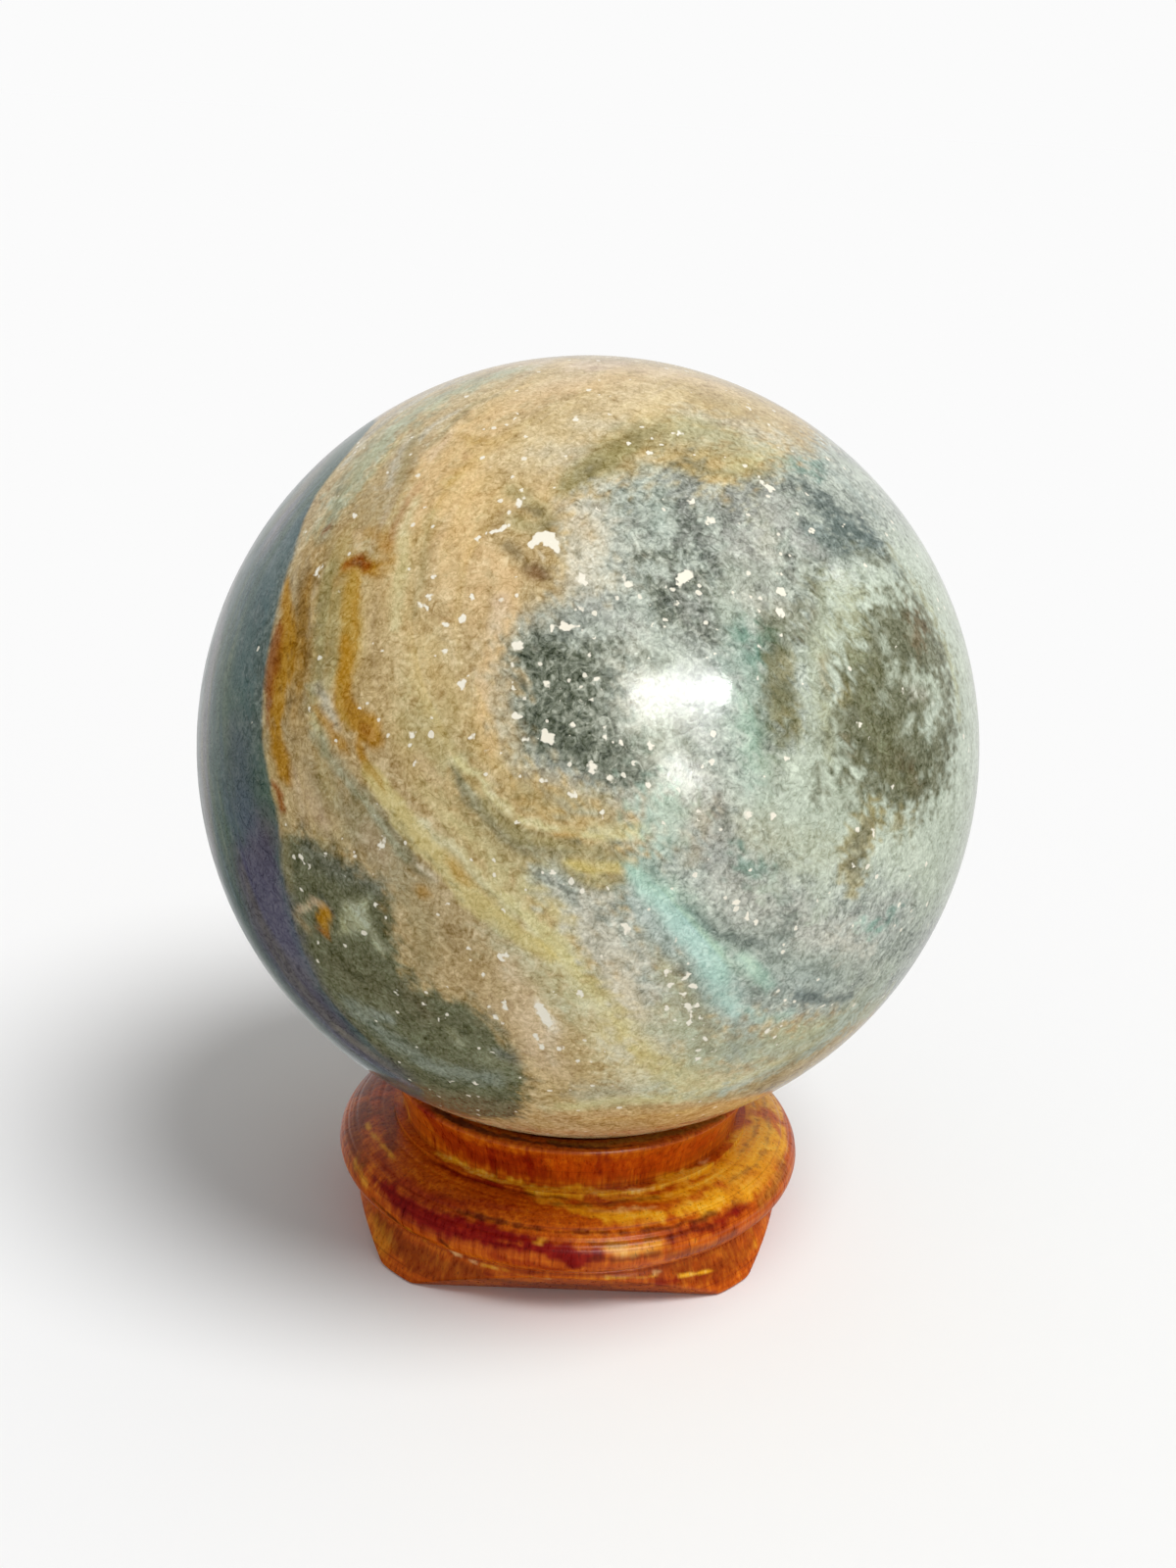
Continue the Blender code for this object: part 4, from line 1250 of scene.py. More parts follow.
# %% [markdown]
# ## The polished stone
# The shader picks grains. A fine noise and a coarser one, and in the streaky places a third that is
# stretched along the flow, add up to one number. Where it is low the dark grain colour shows, where
# it is high the light one. A tint drifts from pale to yellow across the bands.

# %% Stone colour
# each noise has its scale, detail, roughness and curl
FINE_GRAIN = (1 / 0.0009, 2.0, 0.5, 1.8)
COARSE_GRAIN = (1 / 0.0026, 3.0, 0.6, 1.0)
STREAKS = (1.0, 2.0, 0.5, 0.0)
TINT_CLOUDS = (1.0, 2.0, 0.5, 0.5)
COARSE_SHARE = 0.45
STREAK_SHARE = 0.38
STREAK_ALONG = 0.10
STREAK_ACROSS = 0.55
GRAIN_CONTRAST = 3.5
TINT_ALONG = 0.045
TINT_ACROSS = 0.30
PALE_TINT = (0.98, 1.00, 1.18)
YELLOW_TINT = (1.03, 1.00, 0.80)
MOST_OF_A_NOISE = (0.36, 0.64)


def banded_colour(tree, flow, fine, coarse):
    """The grains, drawn out along the bands where the rock is streaky, with their drifting tint."""
    streaky = split(tree, flow)[2]
    streak = noise_of(tree, scaled(tree, flow, STREAK_ALONG, STREAK_ACROSS, 0.0), *STREAKS)
    even = between(tree, fine, coarse, COARSE_SHARE)
    drawn_out = between(tree, even, streak, STREAK_SHARE)
    colour = grain_colour(tree, even, drawn_out, streaky, GRAIN_CONTRAST)
    warm = noise_of(tree, scaled(tree, flow, TINT_ALONG, TINT_ACROSS, 0.0), *TINT_CLOUDS)
    warm = swing(tree, spread(tree, warm, *MOST_OF_A_NOISE), streaky, 0.5)
    return vector_maths(tree, "MULTIPLY", colour, blend_of(tree, warm, PALE_TINT, YELLOW_TINT))


print("stone grains from", round(MM / FINE_GRAIN[0], 1), "to", round(MM / COARSE_GRAIN[0], 1), "mm")

# %% [markdown]
# Between the grains the rock shows a weak grit, strongest where it is full of crystals, and thin
# dark seams, where a noise crosses its middle. Both are added to the square root of the colour, so
# that they show alike in light and dark rock.

# %% Grit and seams
GRIT_GRAIN = (1 / 0.00042, 1.0, 0.6, 0.6)
GRIT_LEAST = 0.07
GRIT_MOST = 0.38
GRIT_FULL = 0.45
SEAM_LIFT = 0.026
SEAM_NOISE = (1.0, 0.5, 1.5)
SEAMS = [(0.0008, 0.05, 0.070), (0.0016, 0.035, 0.085)]  # size, half width and depth of each kind


def seamed(tree, colour, place, density):
    """The colour with its grit and its seams."""
    strength = spread(tree, density, 0.0, GRIT_FULL, GRIT_LEAST, GRIT_MOST)
    detail = swing(tree, noise_of(tree, place, *GRIT_GRAIN), strength, SEAM_LIFT)
    for size, half_width, depth in SEAMS:
        seam = noise_of(tree, place, 1 / size, *SEAM_NOISE)
        off = maths(tree, "ABSOLUTE", maths(tree, "SUBTRACT", seam, 0.5))
        detail = maths(tree, "SUBTRACT", detail, spread(tree, off, 0.0, half_width, depth, 0.0))
    return gamma_of(tree, vector_maths(tree, "ADD", gamma_of(tree, colour, 0.5), detail), 2.0)


print(len(SEAMS), "kinds of seam")

# %% [markdown]
# Pale crystals come on top: the large ones from their stored distance, and the small ones from the
# cells of a Voronoi pattern, of which only some are filled. A chip noise breaks the edges of both.

# %% Crystal cover
CRYSTAL_COLOUR = tuple(linear((246, 240, 222)))
CHIP_GRAIN = (1 / 0.0005, 1.0, 0.5, 0.0)
LARGE_CHIP_MM = 0.8
LARGE_EDGE_MM = 0.06
CELL_SCALE = 1 / 0.0009
CELL_CHIP = 0.5
CELL_EDGE = 0.03
SMALL_LEAST = 0.12
SMALL_SPREAD = 0.18
SMALL_STRENGTH = 0.85
CLUSTERS = (0.40, 0.60, 0.10, 0.62)  # low and high noise, and the share of cells filled there


def crystal_cover(tree, place, coarse, gap, density):
    """How much of a crystal shows at each spot."""
    chips = noise_of(tree, place, *CHIP_GRAIN)
    large = spread(tree, swing(tree, chips, LARGE_CHIP_MM, gap), LARGE_EDGE_MM, -LARGE_EDGE_MM)
    cells = add_node(tree, "ShaderNodeTexVoronoi", Scale=CELL_SCALE, Randomness=1.0)
    tree.links.new(place, cells.inputs["Vector"])
    chance, size, _ = split(tree, cells.outputs["Color"])
    reach = maths(tree, "MULTIPLY_ADD", size, SMALL_SPREAD, SMALL_LEAST)
    off = maths(tree, "SUBTRACT", cells.outputs["Distance"], swing(tree, chips, CELL_CHIP, reach))
    clustered = maths(tree, "MULTIPLY", density, spread(tree, coarse, *CLUSTERS))
    filled = maths(tree, "LESS_THAN", chance, clustered)
    small = maths(tree, "MULTIPLY", spread(tree, off, CELL_EDGE, -CELL_EDGE), filled)
    return maths(tree, "MAXIMUM", large, maths(tree, "MULTIPLY", small, SMALL_STRENGTH))


print("small crystals in cells of", round(MM / CELL_SCALE, 1), "mm")

# %% [markdown]
# The polish is a low roughness, a little rougher on the crystals, with a faint unevenness left by
# the lap on which the ball was ground.

# %% Stone finish
STONE_ROUGHNESS = (0.09, 0.20)
CRYSTAL_ROUGHER = 0.10
LAP_FINE_SHARE = 0.25
LAP_DEPTH = 0.00004
LAP_STRENGTH = 0.5
STONE_IOR = 1.54


def stone_finish():
    material, tree, shader, place = new_finish("polished_stone")
    fine = noise_of(tree, place, *FINE_GRAIN)
    coarse = noise_of(tree, place, *COARSE_GRAIN)
    gap, density, _ = split(tree, stored(tree, "crystals"))
    colour = banded_colour(tree, stored(tree, "flow"), fine, coarse)
    crystal = crystal_cover(tree, place, coarse, gap, density)
    colour = blend_of(tree, crystal, seamed(tree, colour, place, density), CRYSTAL_COLOUR)
    tree.links.new(colour, shader.inputs["Base Color"])
    rough = spread(tree, coarse, *MOST_OF_A_NOISE, *STONE_ROUGHNESS)
    rough = maths(tree, "MULTIPLY_ADD", crystal, CRYSTAL_ROUGHER, rough)
    tree.links.new(rough, shader.inputs["Roughness"])
    lap = maths(tree, "MULTIPLY_ADD", fine, LAP_FINE_SHARE, coarse)
    tree.links.new(bump_of(tree, lap, LAP_DEPTH, LAP_STRENGTH), shader.inputs["Normal"])
    shader.inputs["IOR"].default_value = STONE_IOR
    return material


ball.data.materials.append(stone_finish())
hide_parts("stone_sphere")
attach(ball, "root")
print("stone finish", len(ball.data.materials[0].node_tree.nodes), "nodes")

# %% [markdown]
# ## The stand's shape
# The stand was turned on a lathe from one block: a dish for the ball, a hollow neck, a thin fillet,
# a fat bead with grooves left by the tool, and a flaring foot. A half section spun round the axis
# gives all of it. The section is drawn with points a tenth of a millimetre apart, so that grooves
# and tool marks are real shape and catch the light along their edges. The sizes are those of the
# CAD stand, in metres.

# %% Stand section
NECK_TOP_RADIUS = 0.0190
NECK_FOOT_RADIUS = 0.0176
SEAT_RADIUS = 0.0169
SEAT_GAP = 0.0003
RIM_ROUNDING = 0.0004
FILLET_RADIUS = 0.0186
FILLET_TOP = 0.0111
SHOULDER_TOP = 0.0107
BEAD_RADIUS = STAND_HIGH.x
BEAD_HEIGHT = 0.0071
QUIRK_RADIUS = 0.0220
QUIRK_TOP = 0.0050
QUIRK_BOTTOM = 0.0048
FOOT_TOP_RADIUS = 0.0223
FOOT_FLOOR_RADIUS = 0.0240
FOOT_EASING = 0.0004
SECTION_STEP = 0.00011
DISH_STEPS = 14


def arc(centre, radius_x, radius_z, start, end):
    """Points of an ellipse's arc, in degrees, about a section step apart."""
    length = radians(abs(end - start)) * (radius_x + radius_z) / 2
    count = max(3, round(length / SECTION_STEP))
    turns = [radians(start + (end - start) * step / count) for step in range(count + 1)]
    return [(centre[0] + radius_x * cos(turn), centre[1] + radius_z * sin(turn)) for turn in turns]


def straight(start, end):
    """Points from start to end, a section step apart, without the start."""
    count = max(1, round(hypot(end[0] - start[0], end[1] - start[1]) / SECTION_STEP))
    return [(start[0] + (end[0] - start[0]) * step / count,
             start[1] + (end[1] - start[1]) * step / count) for step in range(1, count + 1)]


def stand_section():
    """The half section from the middle of the dish, over the rim, down to the foot's lower edge."""
    top = STAND_HIGH.z
    clear = BALL_RADIUS + SEAT_GAP
    dish = [SEAT_RADIUS * step / DISH_STEPS for step in range(DISH_STEPS + 1)]
    section = [(radius, BALL_CENTRE.z - sqrt(clear**2 - radius**2)) for radius in dish]
    section += straight(section[-1], (NECK_TOP_RADIUS - RIM_ROUNDING, top))
    rim = (NECK_TOP_RADIUS - RIM_ROUNDING, top - RIM_ROUNDING)
    section += arc(rim, RIM_ROUNDING, RIM_ROUNDING, 90, 0)[1:]
    neck_height = top - RIM_ROUNDING - FILLET_TOP
    count = round(neck_height / SECTION_STEP)
    for step in range(1, count + 1):
        share = step / count
        radius = NECK_TOP_RADIUS + (NECK_FOOT_RADIUS - NECK_TOP_RADIUS) * sin(share * pi / 2)
        section.append((radius, top - RIM_ROUNDING - neck_height * share))
    section += straight(section[-1], (FILLET_RADIUS, FILLET_TOP))
    section += straight(section[-1], (FILLET_RADIUS, SHOULDER_TOP))
    shoulder = (FILLET_RADIUS, BEAD_HEIGHT)
    section += arc(shoulder, BEAD_RADIUS - FILLET_RADIUS, SHOULDER_TOP - BEAD_HEIGHT, 90, 0)[1:]
    under = (QUIRK_RADIUS, BEAD_HEIGHT)
    section += arc(under, BEAD_RADIUS - QUIRK_RADIUS, BEAD_HEIGHT - QUIRK_TOP, 0, -90)[1:]
    section += straight(section[-1], (QUIRK_RADIUS - FOOT_EASING, QUIRK_BOTTOM))
    foot_top = (FOOT_TOP_RADIUS - FOOT_EASING, QUIRK_BOTTOM - FOOT_EASING)
    section += arc(foot_top, FOOT_EASING, FOOT_EASING, 90, 0)
    section += straight(section[-1], (FOOT_FLOOR_RADIUS, FOOT_EASING))
    foot_floor = (FOOT_FLOOR_RADIUS - FOOT_EASING, FOOT_EASING)
    section += arc(foot_floor, FOOT_EASING, FOOT_EASING, 0, -90)[1:]
    return section


SECTION = np.array(stand_section())
RUN_MM = MM * np.concatenate([[0], np.cumsum(np.linalg.norm(np.diff(SECTION, axis=0), axis=1))])
print("section", len(SECTION), "points,", round(RUN_MM[-1], 1), "mm long")

# %% [markdown]
# The turner cut fine grooves round the bead, and the tool's edge left marks all over the outside.
# Both are cut inward from the smooth section, so they never outgrow the stand's size.

# %% Grooves and tool marks
GROOVES = [  # radius and height of each groove, then its half width and depth, in mm
    (19.9, 10.6, 0.22, 0.08), (21.3, 10.25, 0.16, 0.04), (22.6, 9.6, 0.20, 0.09),
    (23.0, 9.3, 0.14, 0.04), (23.45, 8.9, 0.20, 0.10), (23.9, 8.3, 0.14, 0.04),
    (24.15, 7.5, 0.16, 0.04),
]
TOOL_MARK_MM = 0.012
MARKS = [(2.6, 3.0, 1.0), (6.5, 7.0, 0.5)]  # waves a mm, seed and strength
MARK_LIFT = 0.9


def tool_mark(run):
    return sum(strength * noise.noise(Vector((run * waves, seed, 0.0)))
               for waves, seed, strength in MARKS)


def cut_depth(section):
    """How deep each point of the section is cut below the smooth shape, in metres."""
    depth = np.zeros(len(section))
    for radius, height, half_width, deep in GROOVES:
        off = np.linalg.norm(MM * section - np.array((radius, height)), axis=1) / half_width
        depth += deep * np.exp(-off**2)
    on_outside = (section[:, 1] < STAND_HIGH.z - RIM_ROUNDING) & (section[:, 1] > FOOT_EASING)
    marks = np.array([tool_mark(run) for run in RUN_MM])
    return (depth + TOOL_MARK_MM * (marks + MARK_LIFT) * on_outside) / MM


def cut(section):
    """The section with its grooves and marks cut in, square to its surface."""
    step = np.gradient(section, axis=0)
    inward = np.stack([step[:, 1], -step[:, 0]], 1)
    inward /= np.maximum(np.linalg.norm(inward, axis=1), TINY)[:, None]
    return section + inward * cut_depth(section)[:, None]


print("deepest cut", round(MM * cut_depth(SECTION).max(), 3), "mm")

# %% [markdown]
# The cut section is spun round the axis. Then the foot is planed on four sides: what stands out
# past a slanting plane is moved back onto it, and an easing keeps the edges from being sharp. Each
# point keeps its run, the distance down the section, for the map that follows.

# %% Stand mesh
TURNING_STEPS = 320
FLAT_FLOOR_HALF_WIDTH = 0.0183
FLAT_SLANT = 0.99
FLAT_EDGE = 0.00022
FLAT_EDGE_REACH = 6
MERGE_DISTANCE = 0.000002
SHARP_ANGLE = radians(40)


def planed(vert):
    """The place of a point after the foot's four sides are planed flat, with softened edges."""
    half_width = FLAT_FLOOR_HALF_WIDTH + FLAT_SLANT * vert.z
    moved = []
    for value in (vert.x, vert.y):
        gap = abs(value) - half_width
        near = gap > -FLAT_EDGE_REACH * FLAT_EDGE
        eased = (gap + sqrt(gap * gap + FLAT_EDGE**2)) / 2 if near else 0.0
        moved.append(value - eased * (1 if value > 0 else -1))
    return Vector((*moved, vert.z))


def stand_mesh():
    """The stand's mesh, and a tree of its faces for the lines of sight."""
    bm = bmesh.new()
    chain = [bm.verts.new((x, 0.0, z)) for x, z in cut(SECTION)]
    edges = [bm.edges.new(pair) for pair in zip(chain, chain[1:])]
    bmesh.ops.spin(bm, geom=chain + edges, cent=(0, 0, 0), axis=(0, 0, 1), angle=2 * pi,
                   steps=TURNING_STEPS, use_merge=True, use_duplicate=False)
    bmesh.ops.remove_doubles(bm, verts=bm.verts[:], dist=MERGE_DISTANCE)
    runs = bm.verts.layers.float.new("run")
    for vert in bm.verts:
        away = np.hypot(SECTION[:, 0] - hypot(vert.co.x, vert.co.y), SECTION[:, 1] - vert.co.z)
        vert[runs] = RUN_MM[int(away.argmin())]
    for vert in bm.verts:
        if vert.co.z < QUIRK_BOTTOM:
            vert.co = planed(vert.co)
    rim = [edge for edge in bm.edges if edge.is_boundary]
    bmesh.ops.contextual_create(bm, geom=rim)
    bmesh.ops.recalc_face_normals(bm, faces=bm.faces[:])
    mesh = bpy.data.meshes.new("stand")
    bm.to_mesh(mesh)
    tree = BVHTree.FromBMesh(bm)
    bm.free()
    mesh.shade_smooth()
    mesh.set_sharp_from_angle(angle=SHARP_ANGLE)
    return mesh, tree


stand_data, STAND_TREE = stand_mesh()
stand = new_piece("turned_stand", stand_data)
stand_points = points_of(stand.data)
print("stand", len(stand.data.vertices), "points", len(stand.data.polygons), "faces")

# %% [markdown]
# ## The stand's map
# The stand's surface unrolls into a strip: across it the distance run round the axis, down it the
# distance run along the section. The back repeats the front, folded at the sides.

# %% Stand map
BELT_RADIUS_MM = 22.0
OFF_THE_MAP = (0.0, -50.0)
FACING = atan2(EYE.x, -EYE.y)


def runs_of(mesh):
    """The run of each point, in mm."""
    values = np.empty(len(mesh.vertices), np.float32)
    mesh.attributes["run"].data.foreach_get("value", values)
    return values.astype(float)


def stand_map(points, runs):
    """Map places in mm of points on the stand, the back folded over the front."""
    turn = np.arctan2(points[:, 0], -points[:, 1]) - FACING
    turn = (turn + pi) % (2 * pi) - pi
    folded = np.where(np.abs(turn) > pi / 2, np.sign(turn) * (pi - np.abs(turn)), turn)
    return np.stack([folded * BELT_RADIUS_MM, runs], 1)


stand_runs = runs_of(stand.data)
stand_places = stand_map(stand_points, stand_runs)


def pixel_on_stand(x, y):
    """The map place of a pixel. One that misses the stand goes to a place off the map."""
    hit, _, face, _ = STAND_TREE.ray_cast(EYE, sight(x, y))
    if hit is None:
        return OFF_THE_MAP
    corners = list(stand.data.polygons[face].vertices)
    gaps = np.linalg.norm(stand_points[corners] - MM * np.array(hit), axis=1)
    run = stand_runs[corners[int(gaps.argmin())]]
    spot = stand_map(MM * np.array([hit]), np.array([run]))
    return float(spot[0, 0]), float(spot[0, 1])


print("stand's map", [round(float(v), 1) for v in np.ptp(stand_places, axis=0)], "mm")

# %% [markdown]
# ## Stain, wear and painted light on the wood
# The stain took unevenly: deep red on the neck and in the hollow under the bead, golden on the
# right flank and along the fillet, brown on the left flank. The varnish is rubbed through to pale
# wood in short nicks along the lower edge of the bead. Painted light lies over the stain as well: a
# highlight along the fillet, highlights and glints on the bead's crests, a reflection of the ball
# on the rim and a shadow where the ball sits. The strokes are given as before.

# %% Wood mixtures
WOOD_WOBBLE_MM = 0.3
WOOD_WOBBLE_SIZE_MM = 2.5
WOOD_RAG = 1.2
WOOD_RAG_SIZE_MM = 0.8
UPRIGHT_STRETCH = np.array((1, 1, 0.4))
WOOD = {
    "neck_red": ((132, 28, 0), (168, 50, 2), (206, 84, 8), 0.2, 0.0),
    "neck_orange": ((168, 48, 0), (202, 76, 2), (234, 114, 12), 0.2, 0.0),
    "orange_stain": ((156, 52, 0), (200, 88, 2), (236, 136, 20), 0.6, 0.0),
    "deep_red": ((104, 0, 0), (136, 6, 0), (166, 34, 2), 0.4, 0.0),
    # gold and bright gold are golden wood, and also painted highlights on the fillet and the bead
    "gold": ((222, 130, 4), (250, 176, 22), (255, 206, 84), 0.6, 0.0),
    "bright_gold": ((238, 146, 8), (255, 190, 36), (255, 220, 120), 0.2, 0.0),
    "brown": ((104, 34, 0), (142, 60, 2), (176, 96, 14), 0.5, 0.0),
    "foot_brown": ((130, 42, 0), (164, 68, 0), (192, 100, 8), 0.1, 0.0),
    # dark scored lines, and also the painted shadow where the ball sits
    "dark_line": ((58, 12, 0), (96, 30, 0), (134, 58, 6), 0.2, 0.0),
    # olive brown of the wood, and also the painted reflection of the ball on the neck's rim
    "olive_brown_and_ball_reflection": ((120, 62, 8), (168, 104, 26), (206, 146, 58), 0.3, 0.0),
    # pale bare wood in nicks, and also the painted glints
    "bare_wood_and_glint": ((214, 150, 80), (250, 196, 128), (255, 230, 184), 0.0, 1.0),
}
WOOD_VALUES = {name: mixture_values(mixture) for name, mixture in WOOD.items()}
stand_rag = WOOD_RAG * wobble(stand_points * UPRIGHT_STRETCH, WOOD_RAG_SIZE_MM, 11)[:, 0]
wood_places = stand_places + WOOD_WOBBLE_MM * wobble(stand_points, WOOD_WOBBLE_SIZE_MM, 12)[:, :2]
wood = np.tile(WOOD_VALUES["orange_stain"], (len(stand_points), 1))


def paint_stand(title, strokes):
    """Paints strokes on the stand: stain, wear and painted light."""
    paint(wood, wood_places, stand_rag, pixel_on_stand, strokes, WOOD_VALUES)
    print(title, len(strokes), "strokes")


print(len(WOOD), "wood mixtures")

# %% [markdown]
# The neck is red on the left and orange on the right, with dark upright fibres. Its rim holds a
# painted olive brown reflection of the ball, and a painted shadow runs as a dark line under the
# ball. At its foot a painted highlight over golden wood marks the fillet.

# %% Neck
paint_stand("neck", [
    ("neck_red", 14, 1.0, [(432, 1134, 14), (455, 1160, 17), (500, 1180, 18), (545, 1188, 18),
        (570, 1192, 18)]),
    ("neck_orange", 18, 1.0, [(575, 1192, 17), (600, 1194, 17), (650, 1189, 17), (700, 1174, 16),
        (732, 1154, 12)]),
    # painted reflection: the rim's top mirrors the ball as an olive brown band
    ("olive_brown_and_ball_reflection", 6, 0.9, [(560, 1166, 5), (600, 1168, 5), (650, 1163, 5), (700, 1152, 5),
        (735, 1140, 4)]),
    ("deep_red", 7, 0.8, [(439, 1130, 3), (441, 1150, 3), (444, 1166, 2)]),
    ("deep_red", 7, 0.8, [(500, 1166, 4), (502, 1184, 4), (504, 1198, 3)]),
    ("deep_red", 7, 0.7, [(538, 1172, 4), (540, 1190, 4), (542, 1204, 3)]),
    ("deep_red", 7, 0.8, [(611, 1178, 3), (613, 1196, 3)]),
    ("deep_red", 7, 0.8, [(620, 1178, 2), (621, 1206, 2)]),
    ("deep_red", 8, 0.5, [(655, 1176, 3), (656, 1196, 2)]),
    ("orange_stain", 5, 0.8, [(472, 1156, 1), (472, 1182, 1)]),
    ("orange_stain", 8, 0.6, [(590, 1182, 4), (592, 1204, 3)]),
    ("orange_stain", 8, 0.5, [(560, 1184, 3), (562, 1204, 3)]),
    # painted shadow: a dark line where the ball sits in the dish
    ("dark_line", 5, 0.9, [(438, 1128, 4), (470, 1146, 5), (500, 1156, 4), (550, 1166, 3),
        (610, 1171, 2), (660, 1168, 1)]),
    # painted highlight over golden wood, down to the gold below: the fillet's ledge catching the
    # light
    ("bright_gold", 6, 0.9, [(442, 1177, 2), (456, 1182, 4), (474, 1188, 4)]),
    ("bright_gold", 6, 0.9, [(476, 1193, 3), (492, 1198, 5), (508, 1204, 4), (532, 1208, 4)]),
    ("bright_gold", 6, 1.0, [(534, 1211, 4), (560, 1214, 5), (590, 1214, 6), (610, 1217, 5),
        (640, 1217, 4), (664, 1212, 5), (690, 1203, 7), (714, 1194, 8), (726, 1187, 5)]),
    # painted glints on the fillet
    ("bare_wood_and_glint", 6, 0.7, [(644, 1214, 2), (666, 1212, 2)]),
    ("bare_wood_and_glint", 6, 0.8, [(716, 1187, 2), (724, 1183, 2)]),
    ("gold", 7, 0.9, [(540, 1216, 5), (566, 1220, 7), (590, 1220, 5)]),
    ("gold", 9, 0.8, [(676, 1206, 8), (704, 1200, 9)]),
    ("gold", 9, 0.7, [(620, 1222, 5), (650, 1222, 5), (680, 1222, 7), (712, 1214, 8)]),
    ("deep_red", 6, 0.9, [(435, 1183, 2), (455, 1192, 3), (470, 1200, 4), (500, 1208, 3),
        (530, 1216, 2), (580, 1224, 2)]),
])

# %% [markdown]
# The left flank of the bead lies in shade: brown, with a few golden scratches.

# %% Left flank
paint_stand("left flank", [
    ("brown", 20, 1.0, [(384, 1100, 12), (368, 1130, 14), (360, 1160, 14), (366, 1190, 10)]),
    ("brown", 16, 0.9, [(396, 1110, 8), (398, 1140, 10), (402, 1170, 10)]),
    ("gold", 14, 0.45, [(404, 1114, 4), (414, 1124, 7), (418, 1138, 5)]),
    ("orange_stain", 14, 0.7, [(412, 1160, 8), (424, 1180, 9), (440, 1196, 8), (456, 1206, 6)]),
    ("gold", 5, 0.8, [(375, 1147, 1), (382, 1160, 1), (392, 1172, 2), (402, 1182, 1)]),
    ("gold", 8, 0.5, [(362, 1184, 3), (370, 1200, 4), (376, 1212, 3)]),
    ("deep_red", 8, 0.7, [(384, 1180, 4), (400, 1200, 5), (420, 1216, 4), (450, 1226, 3),
        (470, 1230, 2)]),
])

# %% [markdown]
# On the right flank the stain is thin, and the wood shows golden through it between brown rings.

# %% Right flank
paint_stand("right flank", [
    ("gold", 14, 1.0, [(690, 1216), (735, 1184), (748, 1156), (764, 1134), (780, 1130), (792, 1150),
        (797, 1178), (788, 1200), (765, 1222), (720, 1240), (684, 1236)]),
    ("olive_brown_and_ball_reflection", 12, 0.7, [(797, 1176, 5), (798, 1196, 7), (788, 1212, 6), (776, 1226, 6)]),
    ("orange_stain", 14, 0.9, [(744, 1150, 5), (750, 1134, 6), (760, 1124, 5)]),
    ("orange_stain", 12, 0.9, [(668, 1232, 4), (690, 1226, 5), (716, 1218, 5), (740, 1204, 4)]),
    ("bright_gold", 8, 0.5, [(750, 1164, 4), (757, 1154, 4)]),
    ("bright_gold", 10, 0.5, [(766, 1180, 5), (774, 1160, 5)]),
    ("bright_gold", 8, 0.5, [(742, 1196, 4), (750, 1192, 4)]),
    ("orange_stain", 16, 0.4, [(740, 1214, 8), (776, 1200, 10), (790, 1180, 8)]),
    ("brown", 6, 0.6, [(770, 1124, 2), (772, 1142, 2), (768, 1160, 2), (754, 1176, 2)]),
    ("olive_brown_and_ball_reflection", 6, 0.6, [(782, 1136, 2), (785, 1156, 2), (780, 1176, 2), (764, 1194, 2),
        (744, 1206, 2)]),
    ("gold", 10, 0.9, [(796, 1140, 4), (799, 1160, 5), (798, 1180, 4)]),
])

# %% [markdown]
# Round the bead runs the hollow where the stain gathered, nearly blood red. The lines that the
# turner scored are dark, and the crests between them carry painted highlights: gold streaks and
# pale glints where the light catches them.

